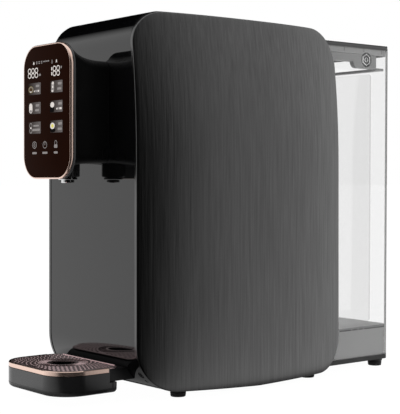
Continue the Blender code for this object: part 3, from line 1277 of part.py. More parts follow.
def add_pure_water_box(root, white):
    """The closed inner box for filtered water, with a filling neck on top."""
    top = BOX_BOTTOM + BOX_HEIGHT
    outer = rounded_box(-BOX_HALF_WIDTH, BOX_HALF_WIDTH, BOX_FRONT, BOX_BACK, BOX_CORNER, steps=3)
    wall = BOX_WALL
    side = BOX_HALF_WIDTH - wall
    inner = rounded_box(-side, side, BOX_FRONT + wall, BOX_BACK - wall, BOX_CORNER - wall, steps=3)
    middle = (BOX_FRONT + BOX_BACK) / 2
    half = BOX_NECK_HALF
    neck = rounded_box(-half, half, middle - half, middle + half, half - GAP, steps=3)
    hole = half - wall
    mouth = rounded_box(-hole, hole, middle - hole, middle + hole, hole - GAP, steps=3)
    rings = [
        spread(inner, BOX_BOTTOM + wall, "Z"),
        spread(inner, top - wall, "Z"),
        spread(mouth, top - wall, "Z"),
        spread(mouth, top + BOX_NECK_HEIGHT, "Z"),
        spread(neck, top + BOX_NECK_HEIGHT, "Z"),
        spread(neck, top, "Z"),
        spread(outer, top, "Z"),
        spread(outer, BOX_BOTTOM, "Z"),
    ]
    water_box = piece("pure_water_box", loft(rings), white, root)
    start = (DELIVERY_X, DELIVERY_Y, BOX_BOTTOM - SPIGOT_LENGTH)
    add(water_box, rod(SPIGOT_RADIUS, start, (DELIVERY_X, DELIVERY_Y, BOX_BOTTOM + wall / 2)), "outlet")


def add_heater(root, steel, dark):
    """The instant heater and the clamp that holds it to the inner frame."""
    top = HEATER_BOTTOM + HEATER_HEIGHT
    profile = [
        (SPIGOT_RADIUS, HEATER_BOTTOM - SPIGOT_LENGTH),
        (SPIGOT_RADIUS, HEATER_BOTTOM),
        (HEATER_RADIUS - HEATER_DOME, HEATER_BOTTOM),
        (HEATER_RADIUS, HEATER_BOTTOM + HEATER_DOME),
        (HEATER_RADIUS, top - HEATER_DOME),
        (HEATER_RADIUS - HEATER_DOME, top),
        (SPIGOT_RADIUS, top),
        (SPIGOT_RADIUS, top + SPIGOT_LENGTH),
    ]
    piece("instant_heater", turned(profile, (HEATER_X, HEATER_Y, 0.0)), steel, root)
    low = (HEATER_X - CLAMP_HALF_WIDTH, HEATER_Y + HEATER_RADIUS - CLAMP_GRIP, CLAMP_BOTTOM)
    high = (HEATER_X + CLAMP_HALF_WIDTH, FRAME_Y - GAP, CLAMP_BOTTOM + CLAMP_HEIGHT)
    clamp = piece("heater_clamp", box(low, high), dark, root)
    start = (HEATER_X, HEATER_Y, HEATER_BOTTOM)
    cut(clamp, rod(HEATER_RADIUS + GAP, start, (HEATER_X, HEATER_Y, top), steps=24), "seat")


def add_power_board(root, board):
    """The power board on four standoffs, with its three tallest parts."""
    back = FRAME_Y - GAP
    plate_back = back - STANDOFF
    plate_front = plate_back - BOARD_THICKNESS
    top = POWER_BOTTOM + POWER_HEIGHT
    plate = box((POWER_LEFT, plate_front, POWER_BOTTOM), (POWER_RIGHT, plate_back, top))
    item = piece("power_board", plate, board, root)
    standoffs = []
    for x in (POWER_LEFT + STANDOFF_INSET, POWER_RIGHT - STANDOFF_INSET):
        for z in (POWER_BOTTOM + STANDOFF_INSET, top - STANDOFF_INSET):
            low = (x - STANDOFF_HALF, plate_front + BOARD_THICKNESS / 2, z - STANDOFF_HALF)
            standoffs.append(box(low, (x + STANDOFF_HALF, back, z + STANDOFF_HALF)))
    add(item, merged(standoffs), "standoffs")
    middle = (POWER_LEFT + POWER_RIGHT) / 2
    parts = (
        ("transformer", TRANSFORMER, middle, POWER_BOTTOM + POWER_HEIGHT / 4),
        ("capacitor", CAPACITOR, middle + TRANSFORMER[0] / 2, POWER_BOTTOM + POWER_HEIGHT / 2),
        ("heat_sink", HEAT_SINK, middle - TRANSFORMER[0] / 2, POWER_BOTTOM + POWER_HEIGHT * 3 / 4),
    )
    for label, (width, depth, height), x, z in parts:
        low = (x - width / 2, plate_front - depth, z - height / 2)
        high = (x + width / 2, plate_front + BOARD_THICKNESS / 2, z + height / 2)
        add(item, box(low, high), label)


def add_hoses(root, clear):
    """Water hoses, each square to the spigots at its ends."""
    seat_y = OUTLET_Y - SEAT_RADIUS - SPIGOT_LENGTH - GAP
    port_x = PUMP_X + PUMP_HEAD_RADIUS + SPIGOT_LENGTH + GAP
    port_y = PUMP_FRONT + PUMP_HEAD_LENGTH / 4
    route = [
        (0.0, seat_y, SEAT_HOSE_Z),
        (0.0, seat_y - HOSE_LEAD, SEAT_HOSE_Z),
        (0.0, BODY_BACK - HOSE_LEAD, SEAT_HOSE_Z),
        (HOSE_LEAD / 2, DELIVERY_Y, SEAT_HOSE_Z),
        (port_x + HOSE_LEAD, MOTOR_FRONT + HOSE_LEAD, PUMP_Z - HOSE_LEAD),
        (port_x + HOSE_BEND, port_y + HOSE_BEND, PUMP_Z),
        (port_x + HOSE_LEAD / 2, port_y, PUMP_Z),
        (port_x, port_y, PUMP_Z),
    ]
    tube("hose_tank_to_pump", route, HOSE_RADIUS, clear, root)
    y = PUMP_FRONT + PUMP_HEAD_LENGTH / 2
    low = PUMP_TOP + SPIGOT_LENGTH + GAP
    route = [(PUMP_X, y, low), (PUMP_X, y, MANIFOLD_BOTTOM - SPIGOT_LENGTH - GAP)]
    tube("hose_pump_to_filter", route, HOSE_RADIUS, clear, root)
    low = DELIVERY_TOP + SPIGOT_LENGTH + GAP
    route = [(DELIVERY_X, DELIVERY_Y, BOX_BOTTOM - SPIGOT_LENGTH - GAP), (DELIVERY_X, DELIVERY_Y, low)]
    tube("hose_box_to_delivery", route, HOSE_RADIUS, clear, root)
    start = DELIVERY_Y - DELIVERY_HALF - SPIGOT_LENGTH - GAP
    heater_low = HEATER_BOTTOM - SPIGOT_LENGTH - GAP
    route = [
        (DELIVERY_X, start, DELIVERY_HOSE_Z),
        (DELIVERY_X, (start + FRAME_BACK) / 2, DELIVERY_HOSE_Z),
        (DELIVERY_X, FRAME_BACK + HOSE_RADIUS, DELIVERY_HOSE_Z),
        (DELIVERY_X, FRAME_Y - 2 * HOSE_RADIUS, DELIVERY_HOSE_Z),
        (DELIVERY_X, HEATER_Y + HOSE_BEND, DELIVERY_HOSE_Z),
        (HEATER_X, HEATER_Y, heater_low - HOSE_LEAD / 2),
        (HEATER_X, HEATER_Y, heater_low),
    ]
    tube("hose_delivery_to_heater", route, HOSE_RADIUS, clear, root)
    heater_top = HEATER_BOTTOM + HEATER_HEIGHT + SPIGOT_LENGTH + GAP
    tap_end = TAP_Y + TAP_RADIUS + SPIGOT_LENGTH + GAP
    route = [
        (HEATER_X, HEATER_Y, heater_top),
        (HEATER_X, HEATER_Y, heater_top + HOSE_LEAD),
        (HEATER_X * 3 / 4, HEATER_Y * 3 / 4, TAP_HOSE_Z - HOSE_LEAD),
        (HEATER_X / 3, HEATER_Y / 2, TAP_HOSE_Z),
        (0.0, tap_end + HOSE_BEND, TAP_HOSE_Z),
        (0.0, tap_end, TAP_HOSE_Z),
    ]
    tube("hose_heater_to_tap", route, HOSE_RADIUS, clear, root)


def build():
    clear_scene()
    root = carrier("dispenser", (0.0, 0.0, 0.0))
    root.location = (0.0, FRONT_SHIFT, 0.0)
    gloss = material("gloss_black", (0.012, 0.012, 0.013), 0.06)
    brushed = material("brushed_graphite", (0.075, 0.075, 0.078), 0.38, 0.8)
    dark = material("black_plastic", (0.022, 0.022, 0.023), 0.42)
    rubber = material("rubber", (0.012, 0.012, 0.012), 0.8)
    grey = material("grey_plastic", (0.20, 0.20, 0.20), 0.5)
    white = material("white_plastic", (0.75, 0.76, 0.76), 0.4)
    clear = material("clear_plastic", (0.90, 0.92, 0.92), 0.05, 0.0, 0.35)
    glass = material("touch_glass", (0.016, 0.006, 0.004), 0.04)
    rose = material("rose_gold", (0.80, 0.50, 0.40), 0.22, 1.0)
    bronze = material("bronze_plate", (0.30, 0.19, 0.17), 0.35, 0.9)
    chrome = material("chrome", (0.80, 0.80, 0.80), 0.08, 1.0)
    steel = material("steel", (0.55, 0.55, 0.56), 0.3, 1.0)
    brass = material("brass", (0.70, 0.52, 0.25), 0.3, 1.0)
    board = material("circuit_board", (0.02, 0.16, 0.07), 0.5)
    add_base(root, dark, rubber)
    add_front(root, gloss, rubber, steel)
    add_side_panels(root, brushed)
    add_top(root, gloss, steel)
    add_rear_wall(root, dark)
    add_head(root, glass, rose, board, dark)
    add_neck(root, gloss)
    add_tap(root, dark, chrome)
    add_tray(root, dark, rose, bronze)
    add_tank(root, clear, dark, grey, steel)
    lift = bpy.data.objects["tank_lift_axis"]
    add_outlet(root, lift, grey, dark, rubber, steel)
    add_filters(root, dark, white, grey)
    add_pumps(root, dark, steel, brass, grey)
    add_pure_water_box(root, white)
    add_heater(root, steel, dark)
    add_power_board(root, board)
    add_hoses(root, clear)


build()
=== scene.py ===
"""Looks of a countertop instant hot water dispenser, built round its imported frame.

Shapes are drawn in metres with Y = 0 on the glossy front panel and Z = 0 on the
counter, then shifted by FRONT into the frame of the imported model.
"""
from math import asin, atan2, cos, dist, hypot, pi, radians, sin, sqrt, tan

import bmesh
import bpy
from mathutils import Matrix, Vector


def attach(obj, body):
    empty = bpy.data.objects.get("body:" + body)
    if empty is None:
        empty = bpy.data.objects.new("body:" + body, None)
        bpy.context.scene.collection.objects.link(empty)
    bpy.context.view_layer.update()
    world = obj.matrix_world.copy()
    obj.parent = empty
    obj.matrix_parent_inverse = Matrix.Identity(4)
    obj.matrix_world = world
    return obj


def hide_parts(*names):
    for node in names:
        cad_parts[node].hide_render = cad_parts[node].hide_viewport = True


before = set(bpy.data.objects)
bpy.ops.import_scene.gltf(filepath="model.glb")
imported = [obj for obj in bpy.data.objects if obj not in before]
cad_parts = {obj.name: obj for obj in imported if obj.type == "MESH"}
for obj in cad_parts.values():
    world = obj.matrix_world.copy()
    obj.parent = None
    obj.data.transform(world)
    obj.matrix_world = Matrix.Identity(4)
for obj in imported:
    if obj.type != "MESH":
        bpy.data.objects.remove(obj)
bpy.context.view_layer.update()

# Camera, fitted to the photograph
CAMERA_PLACE = (1.0335, -0.8418, 0.2274)
CAMERA_TURN = radians(51.0687)
CAMERA_LENS = 100.99
CAMERA_SHIFT = -0.0684

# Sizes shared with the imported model, where HALF is half of a width
FRONT = -0.1561
GAP = 0.0003
BODY_TOP = 0.4
BODY_BACK = 0.262
FRONT_HALF = 0.0798
BASE_BOTTOM = 0.0086
PAN_THICKNESS = 0.0052
FRONT_WALL = 0.0025
COVER_WALL = 0.003
TOP_FRONT_ROUND = 0.034
TOP_BACK_ROUND = 0.045
BOTTOM_ROUND = 0.049
SEAM_ANGLE = radians(30)
LIP_ANGLE = radians(60)
PANEL_WALL = 0.004
PANEL_BULGE = 0.016
PANEL_FULLNESS = 2.4
PANEL_FRONT = -0.0005
PANEL_BACK = 0.2875
PANEL_TOP = 0.3992
PANEL_BOTTOM = 0.0045
PANEL_BOTTOM_FRONT = 0.0105
PANEL_BOTTOM_BACK = 0.0072
PANEL_BOTTOM_LOW_Y = 0.15
PANEL_REAR_FLARE = 0.0016
PANEL_LEAN = 0.0118
PANEL_LEAN_DROP = 0.155
PANEL_EDGE_ROUND = 0.0012
CORNER_TOP_FRONT = 0.035
CORNER_TOP_BACK = 0.044
CORNER_BOTTOM_FRONT = 0.0485
CORNER_BOTTOM_BACK = 0.04
HATCH_FRONT = 0.06
HATCH_AXIS_Y = 0.205
HATCH_HALF = 0.066
HATCH_PIN_REACH = 0.075
PIN_HOLE = 0.0013
BARREL_RADIUS = 0.0025
BARREL_SWEEP = 0.0005
LUG_WIDTH = 0.006
LUG_HALF = 0.004
CORD_HOLE = 0.0058
HEAD_REACH = 0.0555
HEAD_BOTTOM = 0.229
HEAD_HEIGHT = 0.136
GLASS_HALF = 0.0442
GLASS_CORNER = 0.0225
GLASS_THICKNESS = 0.002
BEZEL_WIDTH = 0.0017
BEZEL_DEPTH = 0.004
HEAD_BACK_DEPTH = 0.0032
HEAD_BACK_INSET = 0.0004
CABLE_HOLE_HALF = 0.018
CABLE_HOLE_BOTTOM = 0.25
CABLE_HOLE_TOP = 0.29
NECK_WALL = 0.0025
NECK_BOTTOM = 0.2435
NECK_TOP = 0.35
NECK_HALF = 0.035
NECK_FLARE = 0.006
NECK_FLARE_TOP = 0.012
NECK_FLARE_BOTTOM = 0.004
NECK_CORNER = 0.01
TAP_Y = -0.0291
TAP_RADIUS = 0.0128
TAP_BOTTOM = 0.229
TAP_TOP = 0.262
NOZZLE_RADIUS = 0.0103
NOZZLE_DROP = 0.006
NOZZLE_TIP_RADIUS = 0.0071
NOZZLE_TIP = 0.003
NOZZLE_BORE = 0.004
NOZZLE_STEM_RADIUS = 0.009
NOZZLE_STEM = 0.011
SPIGOT_RADIUS = 0.004
SPIGOT_LENGTH = 0.006
TAP_HOSE_Z = 0.256
TRAY_REACH = 0.078
TRAY_HALF = 0.061
TRAY_FRONT_CORNER = 0.032
TRAY_BACK_CORNER = 0.003
TRAY_BOTTOM = 0.0099
TRAY_TOP = 0.0356
TRAY_LEDGE_BACK = -0.0075
TRAY_WALL = 0.0032
TRAY_FLOOR = 0.0025
TRAY_BOTTOM_ROUND = 0.0045
TRAY_SEAM_Y = -0.0138
BRACKET_REACH = 0.017
BRACKET_BOTTOM = 0.021
SLIDE_GAP = 0.0005
RIM_WIDTH = 0.0022
TRIM_BOTTOM = 0.0308
TRIM_DEPTH = 0.001
TRIM_END = -0.0185
GRILLE_THICKNESS = 0.0016
GRILLE_BACK = -0.003
GRILLE_CENTER_Y = -0.035
GRILLE_HOLE = 0.0145
TANK_HALF = 0.074
TANK_FRONT = 0.2626
TANK_BACK = 0.3902
TANK_TAPER = 0.003
TANK_TOP = 0.3837
TANK_WALL = 0.0025
TANK_FLOOR_TOP = 0.0503
TANK_FRONT_CORNER = 0.006
TANK_BACK_CORNER = 0.01
TANK_SKIRT = 0.0141
PEDESTAL_TOP = 0.0475
OUTLET_Y = 0.318
VALVE_RADIUS = 0.0097
RECESS_HALF = 0.0415
RECESS_TOP = 0.3575
RECESS_DEPTH = 0.0011
LID_BOTTOM = 0.384
LID_THICKNESS = 0.0043
LID_PIN_Y = 0.26475
LID_PIN_Z = 0.38615
LID_PIN_REACH = 0.0703
FITTING_Y = 0.3487
FITTING_Z = 0.3705
FITTING_RADIUS = 0.0085
FITTING_POCKET = 0.004
SOCKET_FLOOR = 0.0669
FOOT_RADIUS = 0.009

# Sizes of what is drawn only here
PRINT_DEPTH = 0.00003
PRINT_LAYER = 0.00004
PLATE_BACK_CORNER = 0.009
SLOT_COUNT = 36
SLOT_INNER = 0.0168
SLOT_OUTER = 0.0262
RING_COUNT = 10
RING_START = 0.0292
RING_STEP = 0.0045
DASH_STEP = 0.0044
HOLE_MARGIN = 0.0034
RIB_COUNT = 28
RIB_START = 0.0135
RIB_STEP = 0.004
RIB_RADIUS = 0.0013
RIB_INSET = 0.0016
# Places of the white beads that paint glints along the tank's seam
GLINT_BEAD_PLACES = (0.301, 0.3225, 0.3335, 0.3426)
COLLAR_RIB_PLACES = (0.3103, 0.3437, 0.3746)

LEAN_START = PANEL_TOP - PANEL_LEAN_DROP
TOP_FRONT_CENTER = (TOP_FRONT_ROUND, BODY_TOP - TOP_FRONT_ROUND)
TOP_BACK_CENTER = (PANEL_BACK - CORNER_TOP_BACK, BODY_TOP - TOP_BACK_ROUND)
BOTTOM_CENTER = (BOTTOM_ROUND, BASE_BOTTOM + BOTTOM_ROUND)
HEAD_BACK_FRONT = -HEAD_REACH + BEZEL_DEPTH + GAP
NECK_FRONT = HEAD_BACK_FRONT + HEAD_BACK_DEPTH + GAP


# Shader nodes


def feed(inputs, values):
    """Set each named input to a value, or link it where the value is a socket."""
    for name, value in values.items():
        if isinstance(value, bpy.types.NodeSocket):
            inputs[name].id_data.links.new(value, inputs[name])
        else:
            inputs[name].default_value = value


def added(tree, kind, values=None, **settings):
    node = tree.nodes.new("ShaderNode" + kind)
    for name, setting in settings.items():
        setattr(node, name, setting)
    feed(node.inputs, values or {})
    return node


def place_of(tree, kind="Object"):
    """Position in the object's own coordinates, which are metres of the model's frame."""
    return added(tree, "TexCoord").outputs[kind]


def across_of(tree, kind="Object"):
    return added(tree, "SeparateXYZ", {"Vector": place_of(tree, kind)}).outputs["X"]


def arithmetic(tree, operation, first, second=0.0):
    """One step between two values, each a socket or a number."""
    return added(tree, "Math", {0: first, 1: second}, operation=operation).outputs["Value"]


def vector_step(tree, operation, first, second=(0.0, 0.0, 0.0), result="Vector"):
    return added(tree, "VectorMath", {0: first, 1: second}, operation=operation).outputs[result]


def blended(tree, factor, low, high):
    """A value that goes from low to high as the factor goes from 0 to 1."""
    values = {"Factor": factor, "A": low, "B": high}
    return added(tree, "Mix", values, data_type="FLOAT").outputs["Result"]


def spread_range(tree, value, low, high, start=0.3, end=0.7):
    return added(tree, "MapRange", {"Value": value, "From Min": start, "From Max": end, "To Min": low,
                                    "To Max": high}).outputs["Result"]


def ramp(tree, value, stops):
    """Colour that follows a value through stops of (position, colour)."""
    node = added(tree, "ValToRGB", {"Fac": value})
    elements = node.color_ramp.elements
    while len(elements) < len(stops):
        elements.new(0.5)
    for element, (position, color) in zip(elements, stops):
        element.position = position
        element.color = (*color, 1.0)
    return node.outputs["Color"]


def two_tone(tree, value, dark, light, start=0.3, end=0.7):
    return ramp(tree, value, ((start, dark), (end, light)))


def pattern(tree, scale, detail=3.0, roughness=0.5, stretch=(1.0, 1.0, 1.0)):
    mapping = added(tree, "Mapping", {"Vector": place_of(tree), "Scale": stretch})
    return added(tree, "TexNoise", {"Vector": mapping.outputs["Vector"], "Scale": scale, "Detail": detail,
                                    "Roughness": roughness}).outputs["Fac"]


def bumped(tree, value, height):
    return added(tree, "Bump", {"Height": value, "Distance": height}).outputs["Normal"]


# Materials


def graph(name):
    shade = bpy.data.materials.new(name)
    shade.use_nodes = True
    return shade, shade.node_tree, shade.node_tree.nodes["Principled BSDF"].inputs


def grey(level):
    return (level, level, level)


def scaled(color, share):
    return [channel * share for channel in color]


def finish(name, color, roughness, vary=0.12, scale=60.0, metallic=0.0, grain=0.0, stretch=(1.0, 1.0, 1.0),
           rough_spread=0.15, ior=1.5, specular=0.5):
    """A surface with a slightly uneven colour and gloss, and a fine grain where asked."""
    shade, tree, inputs = graph(name)
    field = pattern(tree, scale, stretch=stretch)
    rough = [roughness * (1 - rough_spread), roughness * (1 + rough_spread)]
    feed(inputs, {"Base Color": two_tone(tree, field, scaled(color, 1 - vary), scaled(color, 1 + vary)),
                  "Roughness": spread_range(tree, field, *rough), "Metallic": metallic, "IOR": ior,
                  "Specular IOR Level": specular})
    if grain:
        feed(inputs, {"Normal": bumped(tree, pattern(tree, 900.0, detail=2.0, stretch=stretch), grain)})
    return shade


def brushed_graphite():
    """Dark metal film whose fine streaks run up and down."""
    shade, tree, inputs = graph("brushed_graphite")
    fine = pattern(tree, 1.0, detail=4.0, roughness=0.6, stretch=(300.0, 520.0, 14.0))
    feed(inputs, {"Base Color": two_tone(tree, fine, grey(0.12), grey(0.17)),
                  "Roughness": spread_range(tree, fine, 0.2, 0.25), "Metallic": 1.0,
                  "Normal": bumped(tree, fine, 0.00009)})
    return shade


def clear(name, color, edge=None):
    """Clear moulded plastic; where a distance is given, it turns dark beyond it from the middle as painted
    shade.
    """
    shade, tree, inputs = graph(name)
    if edge is None:
        field = pattern(tree, 1.0, detail=1.0, stretch=(25.0, 25.0, 0.5))
        tint = two_tone(tree, field, scaled(color, 0.992), color)
    else:
        # Painted shade: dark beyond the given distance from the middle
        across = arithmetic(tree, "ABSOLUTE", across_of(tree))
        tint = two_tone(tree, across, color, scaled(color, 0.15), edge, edge + 0.0005)
    feed(inputs, {"Base Color": tint, "Roughness": 0.0, "Transmission Weight": 1.0, "IOR": 1.46})
    return shade


def glowing(inputs, tint, glow, roughness):
    feed(inputs, {"Base Color": tint, "Emission Color": tint, "Emission Strength": glow,
                  "Roughness": roughness, "IOR": GLASS_IOR})


def lit_print(name, color, glow):
    """Print on the touch glass that is lit softly from behind."""
    shade, tree, inputs = graph("display_" + name)
    tint = two_tone(tree, pattern(tree, 400.0, detail=1.0), scaled(color, 0.9), color)
    glowing(inputs, tint, glow, 0.5)
    return shade


def faded_tile():
    """A lit field behind the glass that fades out towards its left edge."""
    shade, tree, inputs = graph("display_tile")
    across = across_of(tree, "Generated")
    tint = two_tone(tree, across, (0.015, 0.01, 0.008), (0.085, 0.076, 0.074), 0.05, 0.85)
    glowing(inputs, tint, 0.6, spread_range(tree, pattern(tree, 500.0), 0.4, 0.6))
    return shade


GLASS_IOR = 1.06
GLOSS = finish("gloss_black", (0.0026, 0.0026, 0.0028), 0.03, 0.15, 25.0, ior=1.66)
COVER_GLOSS = finish("cover_black", (0.0015, 0.0015, 0.0017), 0.08, 0.15, 25.0)
NECK = finish("neck_black", (0.003, 0.003, 0.0031), 0.3, 0.15, 30.0)
GRAPHITE = brushed_graphite()
BLACK = finish("black_plastic", (0.0045, 0.0045, 0.0048), 0.34, 0.2, 90.0, grain=0.00002)
SATIN = finish("satin_black", (0.011, 0.011, 0.0112), 0.13, 0.15, 50.0, ior=1.72)
PLINTH = finish("plinth_black", grey(0.09), 0.45, vary=0.1, specular=0.03)
RIM = finish("rim_grey", (0.045, 0.045, 0.046), 0.3)
RUBBER = finish("rubber", grey(0.008), 0.5, 0.25, 160.0, grain=0.00004)
GREY = finish("grey_plastic", grey(0.3), 0.42, 0.08, 40.0, grain=0.00001)
SMOKE = finish("smoke_plastic", grey(0.33), 0.4, 0.04, 30.0)
# A lighter copy of the grey plastic for the pedestal, brightened as painted light where it is seen through
# the clear skirt
PEDESTAL_LIT_GREY = finish("pedestal_lit_grey", grey(0.35), 0.4, 0.03, 20.0)
LIGHT_GREY = finish("light_grey", grey(0.42), 0.4, 0.03, 20.0)
# A darker copy of the grey plastic for the tank floor, darkened as painted shade
TANK_FLOOR_SHADE_GREY = finish("tank_floor_shaded_grey", grey(0.2), 0.35, 0.03, 20.0)
LID = finish("lid_grey", (0.085, 0.085, 0.086), 0.4, scale=80.0, grain=0.00002)
# A darker grey for the collar's ribs, as painted shade
RIB_SHADE_GREY = finish("shaded_grey", grey(0.17), 0.45, vary=0.1)
LID_RIBS = finish("lid_black", (0.008, 0.008, 0.0085), 0.5, 0.2, 90.0)
WHITE = finish("white_plastic", (0.72, 0.73, 0.73), 0.38, 0.05, 40.0)
CLEAR = clear("clear_plastic", grey(0.973))
# Painted shade for the tank shell: a grey tint for the sunk rear panel, nearly black beyond its ends, and a
# near-black tint for edge lines
RECESS_PAINTED_SHADE = clear("clear_recess_painted_shade", grey(0.7), edge=0.0398)
EDGE_PAINTED_SHADE = clear("clear_edge_painted_shade", grey(0.06))
HOSE = finish("hose_silicone", (0.74, 0.74, 0.71), 0.35, 0.06, 70.0)
GLASS = finish("touch_glass", (0.013, 0.0032, 0.0012), 0.1, scale=16.0, ior=GLASS_IOR, specular=0.3)
ROSE = finish("rose_gold", (0.995, 0.73, 0.62), 0.07, 0.005, 120.0, metallic=0.93, rough_spread=0.3)
BRONZE = finish("bronze_plate", (0.66, 0.49, 0.495), 0.15, 0.08, 1.0, metallic=0.88,
                stretch=(40.0, 600.0, 40.0), rough_spread=0.25)
CHROME = finish("chrome", grey(0.8), 0.05, 0.03, 90.0, metallic=1.0)
STEEL = finish("steel", (0.56, 0.57, 0.58), 0.3, 0.08, 1.0, metallic=1.0, stretch=(60.0, 60.0, 900.0))
BRASS = finish("brass", (0.7, 0.52, 0.24), 0.28, 0.1, 80.0, metallic=1.0)
NUT = finish("nut_steel", grey(0.8), 0.12, 0.2, 90.0, metallic=1.0)
BOARD = finish("circuit_board", (0.015, 0.13, 0.055), 0.45, 0.25, 220.0)
PRINTS = {name: lit_print(name, color, glow) for name, color, glow in (
    ("white", (0.6, 0.56, 0.53), 0.45), ("soft", (0.21, 0.195, 0.19), 0.5),
    ("black", (0.004, 0.003, 0.003), 0.1), ("gold", (0.16, 0.13, 0.06), 0.5),
    ("yellow", (0.55, 0.5, 0.12), 0.5), ("brown", (0.06, 0.035, 0.015), 0.3))}
PRINTS["tile"] = faded_tile()


# Shapes


def loft(rings, closed=False):
    body = bmesh.new()
    rows = [[body.verts.new(point) for point in ring] for ring in rings]
    following = rows[1:] + rows[:1] if closed else rows[1:]
    for low, high in zip(rows, following):
        for index in range(len(low)):
            after = (index + 1) % len(low)
            body.faces.new((low[index], low[after], high[after], high[index]))
    if not closed:
        body.faces.new(rows[0])
        body.faces.new(rows[-1])
    bmesh.ops.recalc_face_normals(body, faces=body.faces)
    return body


def spread(outline, along, axis="Z"):
    if axis == "X":
        return [(along, a, b) for a, b in outline]
    if axis == "Y":
        return [(a, along, b) for a, b in outline]
    return [(a, b, along) for a, b in outline]


def prism(outline, low, high, axis="Z"):
    return loft([spread(outline, low, axis), spread(outline, high, axis)])


def box(low, high):
    corners = [(low[0], low[1]), (high[0], low[1]), (high[0], high[1]), (low[0], high[1])]
    return prism(corners, low[2], high[2])


def side_box(sign, near, far, low, high):
    """A box on one side, from near to far across, between two corners (y, z)."""
    low_x, high_x = sorted((sign * near, sign * far))
    return box((low_x, *low), (high_x, *high))


def even(start, end, steps):
    return [start + (end - start) * step / steps for step in range(steps + 1)]


def arc(center, radius, start, end, steps):
    a, b = center
    return [(a + radius * cos(angle), b + radius * sin(angle)) for angle in even(start, end, steps)]


def circle(steps):
    return arc((0.0, 0.0), 1.0, 0.0, 2 * pi, steps)[:-1]


def quarter(steps):
    """What is left of a round edge's depth in either direction, at even steps round it."""
    return [(1 - y, 1 - x) for x, y in arc((0.0, 0.0), 1.0, 0.0, pi / 2, steps)]


def rounded(corners, steps):
    """A closed outline through corners (a, b, radius), each rounded by an arc."""
    points = []
    for index, (a, b, radius) in enumerate(corners):
        here = Vector((a, b))
        to_before = (Vector(corners[index - 1][:2]) - here).normalized()
        to_after = (Vector(corners[(index + 1) % len(corners)][:2]) - here).normalized()
        half = to_before.angle(to_after) / 2
        center = here + (to_before + to_after).normalized() * (radius / sin(half))
        first = here + to_before * (radius / tan(half)) - center
        last = here + to_after * (radius / tan(half)) - center
        start = atan2(first.y, first.x)
        turn = atan2(last.y, last.x) - start
        turn = (turn + pi) % (2 * pi) - pi
        points += arc(center, radius, start, start + turn, steps)
    return points


def rounded_box(low_a, high_a, low_b, high_b, radius, steps, far_radius=None):
    """A rectangle with rounded corners, which can have another radius at its high_b end."""
    far = radius if far_radius is None else far_radius
    return rounded([(low_a, low_b, radius), (high_a, low_b, radius), (high_a, high_b, far),
                    (low_a, high_b, far)], steps)


def sweep(outline, profile, axis="Z", closed=False):
    """Carry an outline, drawn in by each inset, along an axis through a profile."""
    return loft([spread(outline(inset), along, axis) for inset, along in profile], closed)


def soft_edges(low, high, radius, steps=4):
    """Profile of a plate whose two edges are rounded."""
    profile = [(radius * inset, low + radius * rise) for inset, rise in quarter(steps)]
    return profile + [(radius * inset, high - radius * drop) for drop, inset in quarter(steps)]


def turned(profile, origin, direction=(0, 0, 1), steps=48, hollow=False):
    rings = [[(radius * x, radius * y, along) for x, y in circle(steps)] for radius, along in profile]
    body = loft(rings, closed=hollow)
    tilt = Vector((0, 0, 1)).rotation_difference(Vector(direction)).to_matrix().to_4x4()
    body.transform(Matrix.Translation(Vector(origin)) @ tilt)
    return body


def rod(radius, start, end, steps=32):
    reach = Vector(end) - Vector(start)
    return turned([(radius, 0.0), (radius, reach.length)], start, reach.normalized(), steps)


def crosswise(radius, reach, y, z, steps=16):
    return rod(radius, (-reach, y, z), (reach, y, z), steps)


def drawn_in(points, inset):
    """An outline moved inwards along its own normals."""
    moved = []
    turning = sum(a[0] * b[1] - b[0] * a[1] for a, b in zip(points, points[1:] + points[:1]))
    sign = 1.0 if turning > 0 else -1.0
    for index, point in enumerate(points):
        before = points[index - 1]
        after = points[(index + 1) % len(points)]
        along = Vector((after[0] - before[0], after[1] - before[1])).normalized()
        moved.append((point[0] - sign * along.y * inset, point[1] + sign * along.x * inset))
    return moved


def merged(bodies):
    whole = bmesh.new()
    for body in bodies:
        mesh = bpy.data.meshes.new("part")
        body.to_mesh(mesh)
        body.free()
        whole.from_mesh(mesh)
        bpy.data.meshes.remove(mesh)
    return whole


def linked(name, data):
    item = bpy.data.objects.new(name, data)
    bpy.context.scene.collection.objects.link(item)
    return item


def placed(name, body):
    """An object from a body drawn in the front panel's frame."""
    bmesh.ops.translate(body, verts=body.verts, vec=(0.0, FRONT, 0.0))
    mesh = bpy.data.meshes.new(name)
    body.to_mesh(mesh)
    body.free()
    return linked(name, mesh)


def smoothed(item, sharp=35.0):
    item.data.shade_smooth()
    item.data.set_sharp_from_angle(angle=radians(sharp))


def show(name, body, shade, rides, stands_for=(), sharp=35.0):
    item = placed(name, body)
    item.data.materials.append(shade)
    smoothed(item, sharp)
    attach(item, rides)
    for node in stands_for:
        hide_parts(node)
    return item


def refine(node, body, shade, rides="housing", sharp=35.0):
    """A shown piece that takes the place of one node."""
    return show(node + "_fine", body, shade, rides, [node], sharp)


def extra(name, body, shade, rides, sharp=35.0):
    """A shown piece without a node of its own."""
    show(name, body, shade, rides, sharp=sharp)


def solve(item, body, operation):
    """Cut or add a volume on a piece at once."""
    tool = placed("tool", body)
    step = item.modifiers.new("solve", "BOOLEAN")
    step.operation = operation
    step.solver = "EXACT"
    step.object = tool
    bpy.context.view_layer.update()
    result = bpy.data.meshes.new_from_object(item.evaluated_get(bpy.context.evaluated_depsgraph_get()))
    item.modifiers.clear()
    old = item.data
    item.data = result
    bpy.data.meshes.remove(old)
    bpy.data.objects.remove(tool, do_unlink=True)
    smoothed(item)


def cut(item, body):
    solve(item, body, "DIFFERENCE")


def add(item, body):
    solve(item, body, "UNION")


# Casing


